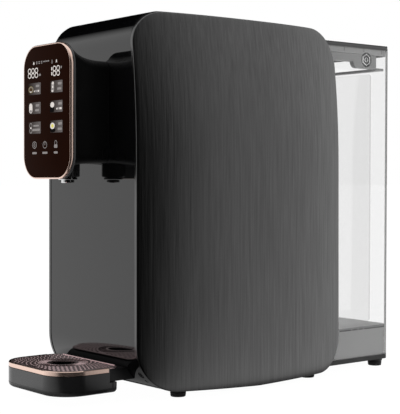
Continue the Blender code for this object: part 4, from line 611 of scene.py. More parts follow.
def panel_inside(y, z):
    half = (PANEL_BACK - PANEL_FRONT) / 2
    share = abs((y - PANEL_FRONT) / half - 1)
    bulge = PANEL_BULGE * (1 - share ** PANEL_FULLNESS)
    flare = PANEL_REAR_FLARE * (y - PANEL_FRONT) / (2 * half)
    lean = PANEL_LEAN * max(0.0, (z - LEAN_START) / PANEL_LEAN_DROP) ** 2
    return FRONT_HALF + GAP + bulge + flare - lean


def casing_half_width(y, z):
    return panel_inside(y, z) - GAP


def strip_shell(line, wall, half_width=casing_half_width):
    """A bent sheet along a profile line, carried across X."""
    rows = []
    for (y_out, z_out), (y_in, z_in) in zip(line(0.0), line(wall)):
        wide = half_width(y_out, z_out)
        narrow = half_width(y_in, z_in)
        top = [(wide * share, y_out, z_out) for share in even(-1.0, 1.0, 12)]
        bottom = [(narrow * share, y_in, z_in) for share in even(1.0, -1.0, 12)]
        rows.append(top + bottom)
    return loft(rows)


def front_line(depth):
    top = arc(TOP_FRONT_CENTER, TOP_FRONT_ROUND - depth, pi - SEAM_ANGLE, pi, 16)
    sides = [(depth, z) for z in even(TOP_FRONT_CENTER[1], BOTTOM_CENTER[1], 40)[1:-1]]
    return top + sides + arc(BOTTOM_CENTER, BOTTOM_ROUND - depth, pi, pi + LIP_ANGLE, 28)


def cover_line(depth):
    seam = SEAM_ANGLE + GAP / TOP_FRONT_ROUND
    front = arc(TOP_FRONT_CENTER, TOP_FRONT_ROUND - depth, pi - seam, pi / 2, 18)
    last, middle = TOP_BACK_CENTER
    flat = [(y, BODY_TOP - depth) for y in even(TOP_FRONT_CENTER[0], last, 24)[1:-1]]
    radius = TOP_BACK_ROUND - depth
    back = [(y, middle + sqrt(radius ** 2 - (y - last) ** 2)) for y in even(last, BODY_BACK, 12)]
    return front + flat + back


def tank_back(z):
    return TANK_BACK - TANK_TAPER * (TANK_TOP - z) / (TANK_TOP - TANK_SKIRT)


def pan_line(depth):
    start = pi + LIP_ANGLE + GAP / BOTTOM_ROUND
    lip = arc(BOTTOM_CENTER, BOTTOM_ROUND - depth, start, 1.5 * pi, 16)
    corner = tank_back(BASE_BOTTOM) - TANK_BACK_CORNER
    under = even(BOTTOM_CENTER[0], BODY_BACK, 30)[1:] + [BODY_BACK + GAP, corner]
    under += [corner + TANK_BACK_CORNER * sin(pi / 2 * step / 12) for step in range(1, 13)]
    return lip + [(y, BASE_BOTTOM + depth) for y in under]


def pan_half_width(y, z):
    if y <= BODY_BACK:
        return casing_half_width(y, z)
    corner = tank_back(BASE_BOTTOM) - TANK_BACK_CORNER
    past = min(max(0.0, y - corner), TANK_BACK_CORNER)
    return TANK_HALF - TANK_BACK_CORNER + sqrt(TANK_BACK_CORNER ** 2 - past ** 2)


def panel_edge():
    """The side panel's outline, with its long straight runs divided."""
    coarse = rounded([
        (PANEL_FRONT, PANEL_BOTTOM_FRONT, CORNER_BOTTOM_FRONT),
        (PANEL_BOTTOM_LOW_Y, PANEL_BOTTOM, 4 * CORNER_BOTTOM_FRONT),
        (PANEL_BACK, PANEL_BOTTOM_BACK, CORNER_BOTTOM_BACK),
        (PANEL_BACK, PANEL_TOP, CORNER_TOP_BACK),
        (PANEL_FRONT, PANEL_TOP, CORNER_TOP_FRONT),
    ], steps=28)
    fine = []
    for index, point in enumerate(coarse):
        after = coarse[(index + 1) % len(coarse)]
        pieces = max(1, round(dist(point, after) / 0.008))
        for step in range(pieces):
            share = step / pieces
            fine.append((point[0] + (after[0] - point[0]) * share, point[1] + (after[1] - point[1]) * share))
    return fine


def side_panel(sign):
    """A bowed panel with a rounded outer edge, in rings from its edge to its middle."""
    edge = panel_edge()
    middle = Vector((sum(y for y, z in edge) / len(edge), sum(z for y, z in edge) / len(edge)))

    def ring(points, depth):
        return [(sign * (panel_inside(y, z) + PANEL_WALL - depth), y, z) for y, z in points]

    def towards_middle(points, share):
        return [tuple(middle + (Vector(point) - middle) * share) for point in points]

    shares = (0.975, 0.94, 0.9, 0.84, 0.77, 0.69, 0.6, 0.5, 0.4, 0.3, 0.2, 0.1, 0.03)
    rings = [ring(towards_middle(edge, share), PANEL_WALL) for share in reversed(shares)]
    rings.append(ring(edge, PANEL_WALL))
    for rise, inset in quarter(6):
        rings.append(ring(drawn_in(edge, PANEL_EDGE_ROUND * inset), PANEL_EDGE_ROUND * rise))
    face = drawn_in(edge, PANEL_EDGE_ROUND)
    return loft(rings + [ring(towards_middle(face, share), 0.0) for share in shares])


def cable_window(front, back):
    return box((-CABLE_HOLE_HALF, front, CABLE_HOLE_BOTTOM), (CABLE_HOLE_HALF, back, CABLE_HOLE_TOP))


def make_casing():
    front = refine("front_panel", strip_shell(front_line, FRONT_WALL), GLOSS)
    cut(front, cable_window(-FRONT_WALL, 2 * FRONT_WALL))
    for node, x, degrees, radius, length, shade, body in (
            ("drain_plug", 0.0759, 38.7, 0.0037, 0.006, RUBBER, "plug"),
            ("drain_screw", 0.077, 49, 0.002, 0.008, STEEL, "housing")):
        angle = radians(degrees)
        facing = Vector((0.0, -cos(angle), -sin(angle)))
        point = Vector((0.0, *BOTTOM_CENTER)) + BOTTOM_ROUND * facing
        point.x = x
        cut(front, rod(radius + GAP, point - 2 * length * facing, point + length * facing, 24))
        face = point - 0.0004 * facing
        profile = [(radius, 0.0), (radius, length - 0.0006), (radius - 0.0006, length),
                   (radius * 0.45, length), (radius * 0.4, length - 0.0009)]
        refine(node, turned(profile, face - length * facing, facing, 32), shade, body)
    for side, sign in (("left", -1), ("right", 1)):
        refine("side_panel_" + side, side_panel(sign), GRAPHITE, sharp=50.0)
    make_cover()
    pan = refine("base_pan", strip_shell(pan_line, PAN_THICKNESS, pan_half_width), PLINTH)
    cut(pan, rod(CORD_HOLE, (-0.076, 0.15, 0.0), (-0.076, 0.15, 0.03), 32))
    profile = [(0.006, 0.0), (0.0076, 0.0003), (0.008, 0.001), (0.0084, 0.0046), (0.0078, 0.005),
               (0.0078, 0.0056), (FOOT_RADIUS, 0.006), (FOOT_RADIUS, 0.0083)]
    for row, x, y in (("front", 0.0745, 0.0595), ("middle", 0.0745, 0.247), ("rear", 0.064, 0.3715)):
        for side, sign in (("left", -1), ("right", 1)):
            refine("foot_" + row + "_" + side, turned(profile, (sign * x, y, 0.0)), RUBBER)


def make_cover():
    cover = refine("top_cover", strip_shell(cover_line, COVER_WALL), COVER_GLOSS)
    mouth_back = HATCH_AXIS_Y + BARREL_RADIUS + BARREL_SWEEP
    reach = HATCH_HALF + GAP
    cut(cover, box((-reach, HATCH_FRONT - GAP, BODY_TOP - 3 * COVER_WALL),
                   (reach, mouth_back, BODY_TOP + COVER_WALL)))
    axis_z = BODY_TOP - BARREL_RADIUS
    for sign in (-1, 1):
        add(cover, side_box(sign, reach, reach + LUG_WIDTH, (HATCH_AXIS_Y - LUG_HALF, axis_z - LUG_HALF),
                            (HATCH_AXIS_Y + LUG_HALF, BODY_TOP - 0.0015)))
    cut(cover, crosswise(PIN_HOLE, HATCH_PIN_REACH, HATCH_AXIS_Y, axis_z))
    under = BODY_TOP - COVER_WALL
    meet = asin((under - axis_z) / BARREL_RADIUS)
    barrel = arc((HATCH_AXIS_Y, axis_z), BARREL_RADIUS, pi / 2, -pi - meet, 24)
    nose = [(HATCH_FRONT, under), (HATCH_FRONT, BODY_TOP - 0.0006), (HATCH_FRONT + 0.0002, BODY_TOP - 0.0002),
            (HATCH_FRONT + 0.0006, BODY_TOP)]
    flap = prism(nose + barrel, -HATCH_HALF, HATCH_HALF, "X")
    hatch = refine("filter_hatch", flap, COVER_GLOSS, "hatch")
    cut(hatch, crosswise(PIN_HOLE, HATCH_PIN_REACH, HATCH_AXIS_Y, axis_z))
    grip = rounded_box(-0.016, 0.016, HATCH_FRONT + 0.005, HATCH_FRONT + 0.012, 0.0034, 8)
    cut(hatch, prism(grip, BODY_TOP - 0.0012, BODY_TOP + 0.001))


# Head, neck and tap


def head_outline(inset):
    side = GLASS_HALF - inset
    low = HEAD_BOTTOM + inset
    high = HEAD_BOTTOM + HEAD_HEIGHT - inset
    return rounded_box(-side, side, low, high, GLASS_CORNER - inset, 20)


def neck_outline(share, depth):
    flare = (1 - share) ** 3
    side = NECK_HALF + NECK_FLARE * flare - depth
    low = NECK_BOTTOM - NECK_FLARE_BOTTOM * flare + depth
    high = NECK_TOP + NECK_FLARE_TOP * flare - depth
    return rounded_box(-side, side, low, high, NECK_CORNER - depth, 12)


def make_head():
    front = -HEAD_REACH
    glass = sweep(head_outline, soft_edges(front, front + GLASS_THICKNESS, 0.0004), "Y")
    refine("touch_glass", glass, GLASS)
    outer = -GAP - BEZEL_WIDTH
    back = front + BEZEL_DEPTH
    profile = [(-GAP, front + 0.0007), (-GAP - 0.0002, front + 0.0004), (outer + 0.0011, front + 0.0003),
               (outer + 0.0009, front + 0.00035), (outer + 0.0003, front + 0.001)]
    for share in even(0.0, 1.0, 6):
        profile.append((outer + 0.0002 * (1 - sin(pi * share)), front + 0.0012 + 0.0026 * share))
    profile += [(outer + 0.0005, back), (-GAP, back)]
    refine("bezel_ring", sweep(head_outline, profile, "Y", closed=True), ROSE, sharp=24.0)

    def back_outline(extra_inset):
        return head_outline(outer + HEAD_BACK_INSET + extra_inset)

    profile = soft_edges(HEAD_BACK_FRONT, HEAD_BACK_FRONT + HEAD_BACK_DEPTH, 0.0009)
    rim = refine("head_back", sweep(back_outline, profile, "Y"), RIM)
    cut(rim, cable_window(-HEAD_REACH, 0.0))
    shares = even(0.0, 1.0, 24)
    rings = []
    for depth, line in ((0.0, shares), (NECK_WALL, shares[::-1])):
        for share in line:
            y = NECK_FRONT + (-GAP - NECK_FRONT) * share
            rings.append(spread(neck_outline(share, depth), y, "Y"))
    neck = refine("neck_housing", loft(rings, closed=True), NECK)
    cut(neck, rod(TAP_RADIUS + GAP, (0.0, TAP_Y, TAP_BOTTOM), (0.0, TAP_Y, TAP_TOP), 48))


def make_tap():
    stem_top = TAP_BOTTOM + NOZZLE_STEM
    profile = [(TAP_RADIUS - 0.0016, TAP_BOTTOM), (TAP_RADIUS - 0.0005, TAP_BOTTOM + 0.0004),
               (TAP_RADIUS, TAP_BOTTOM + 0.0014), (TAP_RADIUS, TAP_TOP)]
    block = refine("tap_block", turned(profile, (0.0, TAP_Y, 0.0)), SATIN)
    cut(block, rod(NOZZLE_STEM_RADIUS + GAP, (0.0, TAP_Y, 0.1), (0.0, TAP_Y, stem_top + GAP), 48))
    end = TAP_Y + TAP_RADIUS + SPIGOT_LENGTH
    add(block, rod(SPIGOT_RADIUS, (0.0, TAP_Y, TAP_HOSE_Z), (0.0, end, TAP_HOSE_Z)))
    low = TAP_BOTTOM - NOZZLE_DROP
    profile = [
        (NOZZLE_BORE, low + 0.0004), (NOZZLE_BORE + 0.0005, low), (NOZZLE_TIP_RADIUS - 0.0008, low),
        (NOZZLE_TIP_RADIUS, low + 0.0008), (NOZZLE_TIP_RADIUS, low + NOZZLE_TIP - 0.0001),
        (NOZZLE_RADIUS - 0.0012, low + NOZZLE_TIP), (NOZZLE_RADIUS, low + NOZZLE_TIP + 0.0007),
        (NOZZLE_RADIUS, TAP_BOTTOM - 0.0007), (NOZZLE_RADIUS - 0.0004, TAP_BOTTOM - GAP),
        (NOZZLE_STEM_RADIUS, TAP_BOTTOM - GAP), (NOZZLE_STEM_RADIUS, stem_top), (NOZZLE_BORE, stem_top),
    ]
    refine("nozzle", turned(profile, (0.0, TAP_Y, 0.0), hollow=True), CHROME)


# What shows on the touch glass, by (x, z) on the glass; lift counts the layers of print beneath it


def lit(name, bodies, shade):
    extra("display_" + name, merged(bodies), PRINTS[shade], "housing")


def face_of(lift):
    return -HEAD_REACH - PRINT_DEPTH - lift * PRINT_LAYER


def sheet(outline, lift=0):
    return prism(outline, face_of(lift), -HEAD_REACH + PRINT_DEPTH, "Y")


def oval(x, z, half_x, half_z):
    return [(x + half_x * across, z + half_z * up) for across, up in circle(24)]


def spot(x, z, half_x, half_z, lift=0):
    return sheet(oval(x, z, half_x, half_z), lift)


def hoop(x, z, half_x, half_z, line, lift=0):
    """An oval outline of a given line width."""
    outer = oval(x, z, half_x, half_z)
    inner = oval(x, z, half_x - line, half_z - line)
    levels = ((outer, face_of(lift)), (outer, -HEAD_REACH), (inner, -HEAD_REACH), (inner, face_of(lift)))
    return loft([spread(points, along, "Y") for points, along in levels], closed=True)


def bar(low_x, high_x, low_z, high_z, lift=0):
    radius = 0.3 * min(high_x - low_x, high_z - low_z)
    return sheet(rounded_box(low_x, high_x, low_z, high_z, radius, 3), lift)


def make_readouts():
    """Two numbers made of soft figure eights, and a row of small signs above them."""
    bodies = []
    for x, z in ((-0.0328, 0.3381), (-0.0259, 0.3381), (-0.0189, 0.3381), (0.0166, 0.3376), (0.0236, 0.3376)):
        for rise, lift in ((-0.0025, 0), (0.0025, 0.25)):
            bodies.append(hoop(x, z + rise, 0.0033, 0.0029, 0.001, lift))
    bodies += [bar(0.0105, 0.0124, 0.3334, 0.3368), bar(0.0105, 0.0124, 0.3384, 0.3418)]
    lit("digits", bodies, "white")
    bodies = [bar(-0.014, -0.0103, 0.3344, 0.3366), bar(0.0284, 0.0306, 0.3395, 0.3418)]
    for x in (-0.0195, -0.0146, -0.0098):
        bodies += [bar(x, x + 0.0026, 0.3471, 0.3481), bar(x, x + 0.0026, 0.3488, 0.3498)]
    bodies += [bar(x, x + 0.0034, 0.3482, 0.3494) for x in (-0.0052, -0.0012, 0.0028)]
    bodies += [hoop(0.012, 0.3469, 0.0013, 0.0015, 0.0006), bar(0.0116, 0.0124, 0.348, 0.3496)]
    lit("marks", bodies, "soft")
    tip = [(-0.0253, 0.3484), (-0.0229, 0.3484), (-0.0242, 0.3502)]
    figure = [(0.0192, 0.3456), (0.0204, 0.3468), (0.0216, 0.3456), (0.0214, 0.3473), (0.021, 0.3487),
              (0.0204, 0.3494), (0.0198, 0.3487), (0.0194, 0.3473)]
    lit("signs", [spot(-0.0241, 0.348, 0.0014, 0.0012), sheet(tip, 0.25), sheet(figure)], "white")


def make_tiles():
    """Six lit tiles in three rows, each with a small picture and bars beside it."""
    rows = ((0.3154, 0.3277), (0.2953, 0.3073), (0.2745, 0.2869))
    (one, one_top), (two, two_top), (three, three_top) = rows
    for column, low_x, high_x in (("left", -0.035, -0.0104), ("right", 0.0084, 0.0319)):
        tiles = [sheet(rounded_box(low_x, high_x, low, high, 0.0007, 3)) for low, high in rows]
        lit("tiles_" + column, tiles, "tile")
    soft = []
    for left, low, high in ((-0.035, one, one_top), (-0.035, two, two_top), (0.0084, one, one_top),
                            (0.0092, two, two_top), (0.0092, three, three_top)):
        left += 0.0148
        soft.append(bar(left, left + 0.007, high - 0.0046, high - 0.0021, 1))
        soft.append(bar(left - 0.0012, left + 0.0066, low + 0.0025, low + 0.0048, 1))
    soft += [
        bar(-0.0268, -0.0118, three + 0.0028, three + 0.0052, 1),
        bar(-0.025, -0.014, three + 0.0074, three + 0.0092, 1),
        sheet(rounded_box(0.0105, 0.016, one + 0.0006, one + 0.0116, 0.0024, 6), 1),
        spot(-0.03, two + 0.003, 0.0022, 0.0015, 2), hoop(-0.0301, three + 0.0086, 0.0027, 0.0029, 0.0009, 1),
        hoop(-0.0301, three + 0.0034, 0.0027, 0.003, 0.0009, 1),
        hoop(-0.0298, one + 0.0056, 0.0042, 0.003, 0.0011, 1),
    ]
    white = [
        bar(-0.0236, -0.0222, one + 0.0028, one + 0.0044, 2),
        bar(-0.016, -0.0132, one + 0.0028, one + 0.0046, 2),
        bar(0.0204, 0.0226, two + 0.0026, two + 0.0044, 2),
        bar(0.0262, 0.0306, two + 0.0026, two + 0.0046, 2), spot(0.0138, one + 0.0098, 0.0018, 0.0015, 2),
        spot(0.0126, one + 0.0019, 0.0018, 0.001, 2), bar(0.0122, 0.0146, one + 0.0048, one + 0.0074, 2),
        sheet(rounded_box(-0.0334, -0.027, two + 0.0008, two + 0.0112, 0.0031, 8), 1),
        spot(-0.0301, three + 0.0061, 0.0016, 0.0008, 2), spot(0.0125, two + 0.0078, 0.0038, 0.0028, 2),
        spot(0.0128, three + 0.007, 0.0043, 0.0033, 1), spot(-0.03, one + 0.0032, 0.0012, 0.0007, 4),
    ]
    lit("bars", soft, "soft")
    lit("cups", white, "white")
    mug = sheet(rounded_box(0.008, 0.016, two + 0.0002, two + 0.0056, 0.002, 6), 1)
    lit("mugs", [mug, spot(0.0134, three + 0.0026, 0.0054, 0.0022, 0.5)], "black")
    lit("coffee", [spot(-0.0298, one + 0.0056, 0.0031, 0.0019, 3)], "brown")
    lit("glaze", [hoop(-0.0298, one + 0.0056, 0.0049, 0.0036, 0.0009, 2)], "gold")
    lit("yolk", [spot(0.0128, three + 0.007, 0.0024, 0.0019, 3)], "yellow")
    lit("keys", [
        hoop(-0.0228, 0.2626, 0.0044, 0.0038, 0.0007), hoop(-0.0228, 0.2626, 0.0021, 0.0018, 0.0005),
        bar(-0.023, -0.0226, 0.2592, 0.2662), hoop(-0.002, 0.2624, 0.0041, 0.0037, 0.0007),
        bar(-0.0024, -0.0016, 0.262, 0.2652, 1), hoop(0.0191, 0.264, 0.0025, 0.0027, 0.0007),
        bar(0.016, 0.0222, 0.2589, 0.2624, 1),
    ], "soft")
    captions = ((-0.0228, 0.0088), (-0.002, 0.0098), (0.0191, 0.0072))
    lit("captions", [bar(x - wide / 2, x + wide / 2, 0.2531, 0.2553) for x, wide in captions], "soft")


# Drip tray


def tray_outline(inset, back=TRAY_LEDGE_BACK):
    side = TRAY_HALF - inset
    return rounded_box(-side, side, inset - TRAY_REACH, back - inset, TRAY_FRONT_CORNER - inset, 24,
                       max(TRAY_BACK_CORNER - inset, 0.0005))


def tray_band(profile):
    """A strip round the tray's front and sides, swept through a closed profile."""
    side = TRAY_HALF
    radius = TRAY_FRONT_CORNER
    turn = [(side, TRIM_END, (1.0, 0.0))]
    for middle, start in ((side - radius, 0.0), (radius - side, -pi / 2)):
        for facing in arc((0.0, 0.0), 1.0, start, start - pi / 2, 24):
            turn.append((middle + radius * facing[0], radius - TRAY_REACH + radius * facing[1], facing))
    turn.append((-side, TRIM_END, (-1.0, 0.0)))
    return loft([[(x - facing[0] * inset, y - facing[1] * inset, z) for inset, z in profile]
                 for x, y, facing in turn])


def hole_cutter(outline, x, y, turn):
    """A cutter that opens out at the plate's top, so that the hole gets a sloped rim."""
    flare = 0.0003
    wide = drawn_in(outline, -flare)
    levels = ((outline, -0.004), (outline, -flare), (wide, 0.0), (wide, 0.002))
    body = loft([spread(points, TRAY_TOP + rise) for points, rise in levels])
    body.transform(Matrix.Translation((x, y, 0.0)) @ Matrix.Rotation(turn, 4, "Z"))
    return body


def grille_holes():
    """Radial slots round the middle hole, then rings of small holes out to the rim."""
    ends = [(0.0, GRILLE_CENTER_Y, TRAY_TOP + rise) for rise in (-0.004, 0.002)]
    cutters = [rod(GRILLE_HOLE, *ends, 64)]
    slot = [(SLOT_INNER, -0.001), (SLOT_OUTER, -0.0016), (SLOT_OUTER, 0.0016), (SLOT_INNER, 0.001)]
    for turn in even(0.0, 2 * pi, SLOT_COUNT)[:-1]:
        cutters.append(hole_cutter(slot, 0.0, GRILLE_CENTER_Y, turn))
    dash = rounded_box(-0.001, 0.001, -0.0015, 0.0015, 0.0009, 3)
    for ring in range(RING_COUNT):
        radius = RING_START + RING_STEP * ring
        count = int(2 * pi * radius / DASH_STEP)
        for index in range(count):
            angle = 2 * pi * (index + 0.5 * (ring % 2)) / count
            x, y = radius * cos(angle), GRILLE_CENTER_Y + radius * sin(angle)
            if on_plate(x, y):
                cutters.append(hole_cutter(dash, x, y, angle))
    return merged(cutters)


def on_plate(x, y):
    """Whether a hole's middle lies on the grille plate, clear of its edge."""
    side = TRAY_HALF - RIM_WIDTH - HOLE_MARGIN
    front = RIM_WIDTH + HOLE_MARGIN - TRAY_REACH
    back = GRILLE_BACK - HOLE_MARGIN
    radius = TRAY_FRONT_CORNER - RIM_WIDTH - HOLE_MARGIN
    behind = abs(x) > side - 0.004 and y > back - 0.004
    over_x, over_y = abs(x) - (side - radius), (front + radius) - y
    ahead = over_x > 0 and over_y > 0 and hypot(over_x, over_y) > radius
    return abs(x) <= side and front <= y <= back and not behind and not ahead


def make_tray():
    low, above = TRAY_BOTTOM, TRAY_TOP + TRAY_WALL
    profile = [(TRAY_BOTTOM_ROUND * inset, low + TRAY_BOTTOM_ROUND * rise) for inset, rise in quarter(6)]
    profile += [(0.0, low + 0.005), (0.0004, low + 0.0051), (0.0004, low + 0.0055), (0.0, low + 0.0056)]
    profile += [(0.0, TRAY_TOP - 0.0006), (0.0002, TRAY_TOP - 0.0002), (0.0006, TRAY_TOP)]
    tray = refine("tray_body", sweep(tray_outline, profile), SATIN, "tray")
    wall_back = -BRACKET_REACH - SLIDE_GAP
    side = TRAY_HALF - TRAY_WALL
    basin = rounded_box(-side, side, TRAY_WALL - TRAY_REACH, wall_back - TRAY_WALL, 0.0288, 20, 0.004)
    cut(tray, prism(basin, low + TRAY_FLOOR, above))
    seat = TRAY_TOP - GRILLE_THICKNESS - GAP
    cut(tray, prism(tray_outline(RIM_WIDTH, 0.006), seat, above))
    cut(tray, box((-0.2, wall_back, BRACKET_BOTTOM - SLIDE_GAP), (0.2, 0.1, above)))
    groove = [(-TRIM_DEPTH, TRIM_BOTTOM - GAP), (TRIM_DEPTH + GAP, TRIM_BOTTOM - GAP),
              (TRIM_DEPTH + GAP, TRAY_TOP + TRIM_DEPTH), (-TRIM_DEPTH, TRAY_TOP + TRIM_DEPTH)]
    cut(tray, tray_band(groove))
    seam = 0.0006
    pad = [(0.002, low - 0.0017), (0.003, low - 0.0011), (0.003, low + 0.001)]
    for sign in (-1, 1):
        cut(tray, side_box(sign, TRAY_HALF - 0.0007, TRAY_HALF + 0.002,
                           (TRAY_SEAM_Y - seam, low + 0.003), (TRAY_SEAM_Y + seam, TRAY_TOP)))
        add(tray, turned(pad, (sign * 0.036, -0.062, 0.0), steps=24))
    band = [(0.0, TRIM_BOTTOM + 0.0003), (0.0003, TRIM_BOTTOM), (TRIM_DEPTH, TRIM_BOTTOM),
            (TRIM_DEPTH, TRAY_TOP), (0.0005, TRAY_TOP), (0.0, TRAY_TOP - 0.0005)]
    refine("tray_trim", tray_band(band), ROSE, "tray", 28.0)

    def plate_outline(inset):
        room = RIM_WIDTH + GAP + inset
        side = TRAY_HALF - room
        return rounded_box(-side, side, room - TRAY_REACH, GRILLE_BACK - inset, TRAY_FRONT_CORNER - room, 24,
                           PLATE_BACK_CORNER - inset)

    edges = soft_edges(seat + GAP, TRAY_TOP, 0.0003, 2)
    plate = refine("tray_grille", sweep(plate_outline, edges), BRONZE, "grille")
    cut(plate, grille_holes())
    lip = rounded_box(GRILLE_BACK - 0.0009, GRILLE_BACK - 0.0003, TRAY_TOP - 0.0008, TRAY_TOP + 0.0005,
                      0.00025, 3)
    side = TRAY_HALF - RIM_WIDTH - GAP - PLATE_BACK_CORNER
    add(plate, prism(lip, -side, side, "X"))


# Tank


def tank_outline(z, inset, front_inset=None):
    front = TANK_FRONT + (inset if front_inset is None else front_inset)
    side = TANK_HALF - inset
    return rounded_box(-side, side, front, tank_back(z) - inset, TANK_FRONT_CORNER - inset, 12,
                       TANK_BACK_CORNER - inset)


def tank_rings(levels):
    return [spread(tank_outline(z, inset), z) for inset, z in levels]


def paint_shell_shade(shell):
    """Paint shade on the tank shell: a grey tint on the sunk rear panel, near-black lines at its sides and
    rear corners.
    """
    shell.visible_shadow = False
    shell.data.materials.append(RECESS_PAINTED_SHADE)
    shell.data.materials.append(EDGE_PAINTED_SHADE)
    for face in shell.data.polygons:
        behind = tank_back(face.center.z) - (face.center.y - FRONT)
        across = abs(face.center.x)
        x, y, _ = face.normal
        outward = x * face.center.x > 0
        side = behind < RECESS_DEPTH * 1.1 and abs(x) > 0.7 and across < RECESS_HALF + 0.001
        corner = behind < 0.01 and y > 0.3 and abs(x) > 0.5 and across > TANK_HALF - 0.009
        # The sunk panel gets the grey painted shade; its sides and the outward faces at the rear corners get
        # near-black painted shade
        if RECESS_DEPTH * 0.5 < behind < TANK_WALL and y > 0.9 and across < RECESS_HALF:
            face.material_index = 1
        elif side or corner and outward:
            face.material_index = 2


def make_tank():
    levels = [(TANK_WALL, TANK_SKIRT), (TANK_WALL, TANK_TOP - 0.0005), (TANK_WALL - 0.0005, TANK_TOP),
              (0.0005, TANK_TOP), (0.0, TANK_TOP - 0.0005), (0.0, TANK_SKIRT + 0.0005), (0.0005, TANK_SKIRT)]
    shell = refine("tank_shell", loft(tank_rings(levels), closed=True), CLEAR, "tank")
    inside = TANK_WALL + 0.00005
    under = PEDESTAL_TOP + GAP
    levels = [(inside + 0.0006, under), (inside, under + 0.0006), (inside, TANK_FLOOR_TOP - 0.0004),
              (inside + 0.0004, TANK_FLOOR_TOP)]
    # The tank floor is shown in the darker painted-shade grey
    floor = show("tank_floor", loft(tank_rings(levels)), TANK_FLOOR_SHADE_GREY, "tank", ["tank_shell"])
    cut(floor, rod(VALVE_RADIUS + GAP, (0.0, OUTLET_Y, 0.0), (0.0, OUTLET_Y, 0.1), 48))
    # A black band along the seam under the tank floor, as painted shade
    low, high = PEDESTAL_TOP - 0.0009, PEDESTAL_TOP + 0.0004
    outer, inner = tank_outline(PEDESTAL_TOP, inside), tank_outline(PEDESTAL_TOP, inside + 0.001)
    seam = [spread(outer, low), spread(outer, high), spread(inner, high), spread(inner, low)]
    extra("tank_seam_painted_shade", loft(seam, closed=True), BLACK, "tank")
    # White beads along the seam under the tank floor, as painted glints
    glint_bead = [(0.0, 0.0), (0.0009, 0.0), (0.0009, 0.0003), (0.0005, 0.0006), (0.0, 0.0007)]
    glint_beads = [turned(glint_bead, (sign * (TANK_HALF - inside - 0.0006), y, PEDESTAL_TOP - 0.0002),
                    (sign, 0, 0), 16) for y in GLINT_BEAD_PLACES for sign in (-1, 1)]
    extra("tank_painted_glints", merged(glint_beads), WHITE, "tank")
    # Ribs on the collar, darker than the collar as painted shade
    bars = [side_box(sign, 0.0706, 0.07125, (y - 0.0004, TANK_TOP - 0.0045), (y + 0.0004, TANK_TOP - 0.0004))
            for y in COLLAR_RIB_PLACES for sign in (-1, 1)]
    extra("collar_ribs", merged(bars), RIB_SHADE_GREY, "tank")
    cut(shell, box((-0.008, TANK_FRONT - 0.003, 0.0), (0.008, TANK_FRONT + 0.005, 0.0403)))
    low = TANK_FLOOR_TOP
    lean = (tank_back(RECESS_TOP) - tank_back(low)) / (RECESS_TOP - low)
    recess = rounded_box(-RECESS_HALF, RECESS_HALF, low, RECESS_TOP, 0.004, 8)
    near = [(x, tank_back(low) - RECESS_DEPTH + lean * (z - low), z) for x, z in recess]
    cut(shell, loft([near, spread(recess, TANK_BACK + TANK_WALL, "Y")]))
    paint_shell_shade(shell)


def make_lid():
    top = LID_BOTTOM + LID_THICKNESS
    levels = ((LID_BOTTOM, 0.00125, 0.0), (LID_BOTTOM + 0.00125, 0.0, 0.0), (top - 0.0017, 0.0, 0.0002),
              (top - 0.0008, 0.0004, 0.0006), (top - 0.0004, 0.0012, 0.0014))
    rings = [spread(tank_outline(TANK_TOP, inset, front), z) for z, front, inset in levels]
    lid = refine("tank_lid", loft(rings), LID, "lid")
    places = [TANK_FRONT + RIB_START + index * RIB_STEP for index in range(RIB_COUNT)]
    ribs = [crosswise(RIB_RADIUS, TANK_HALF - RIB_INSET, y, top - 0.0004, 12) for y in places]
    extra("lid_ribs", merged(ribs), LID_RIBS, "lid")
    for sign in (-1, 1):
        cut(lid, side_box(sign, 0.06 - GAP, 0.066 + GAP, (TANK_FRONT - 0.0025, 0.37),
                          (TANK_FRONT + 0.0059, 0.4)))
    cut(lid, crosswise(PIN_HOLE, LID_PIN_REACH, LID_PIN_Y, LID_PIN_Z))


def make_fitting():
    """The return fitting: a round flange, a six-sided nut and an open socket."""
    reach = FITTING_POCKET - GAP

    def part(profile, steps=32, hollow=True):
        return turned(profile, (SOCKET_FLOOR + GAP, FITTING_Y, FITTING_Z), (1, 0, 0), steps, hollow)

    def ring(outer, lip, mouth, inner, drop):
        return part([(outer, 0.0015), (outer, reach - 0.0004), (lip, reach), (mouth, reach),
                     (inner, reach - drop), (inner, 0.0015)])

    flange = part([(0.0, 0.0), (FITTING_RADIUS, 0.0), (FITTING_RADIUS, 0.0012),
                   (FITTING_RADIUS - 0.0004, 0.0016), (0.0, 0.0016)], 48, False)
    core = ring(0.005, 0.0046, 0.0044, 0.0042, 0.0016)
    refine("return_fitting", merged([flange, core]), BLACK, "tank", 28.0)
    nut = part([(0.007, 0.0018), (0.0073, 0.0022), (0.0073, reach - 0.0006), (0.0068, reach),
                (0.0062, reach), (0.0058, reach - 0.0006), (0.0058, 0.0018)], 6)
    sleeve = ring(0.003, 0.0027, 0.0023, 0.002, 0.0006)
    extra("return_nut", merged([nut, sleeve]), NUT, "tank", 28.0)


def dress_kept_nodes():
    """Give the nodes that show as they were imported their materials, by how their names start."""
    looks = {
        BLACK: "rear_wall tray_bracket outlet_valve water_seat inner_frame pump_head pump_cradle "
               "heater_clamp",
        RUBBER: "cord_gland outlet_seal",
        LIGHT_GREY: "tank_collar",
        SMOKE: "return_block tank_frame",
        # The pedestal's lighter grey is painted light
        PEDESTAL_LIT_GREY: "tank_pedestal",
        GREY: "filter_manifold delivery_pump",
        WHITE: "filter_cartridge pure_water_box",
        HOSE: "hose_",
        STEEL: "hatch_pin lid_pin outlet_poppet outlet_spring pump_motor instant_heater",
        BRASS: "pump_shaft",
        BOARD: "display_board power_board",
    }
    for name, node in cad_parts.items():
        for shade in [shade for shade, starts in looks.items() if name.startswith(tuple(starts.split()))]:
            node.data.materials.clear()
            node.data.materials.append(shade)
            for face in node.data.polygons:
                face.material_index = 0


# Stage, light and camera

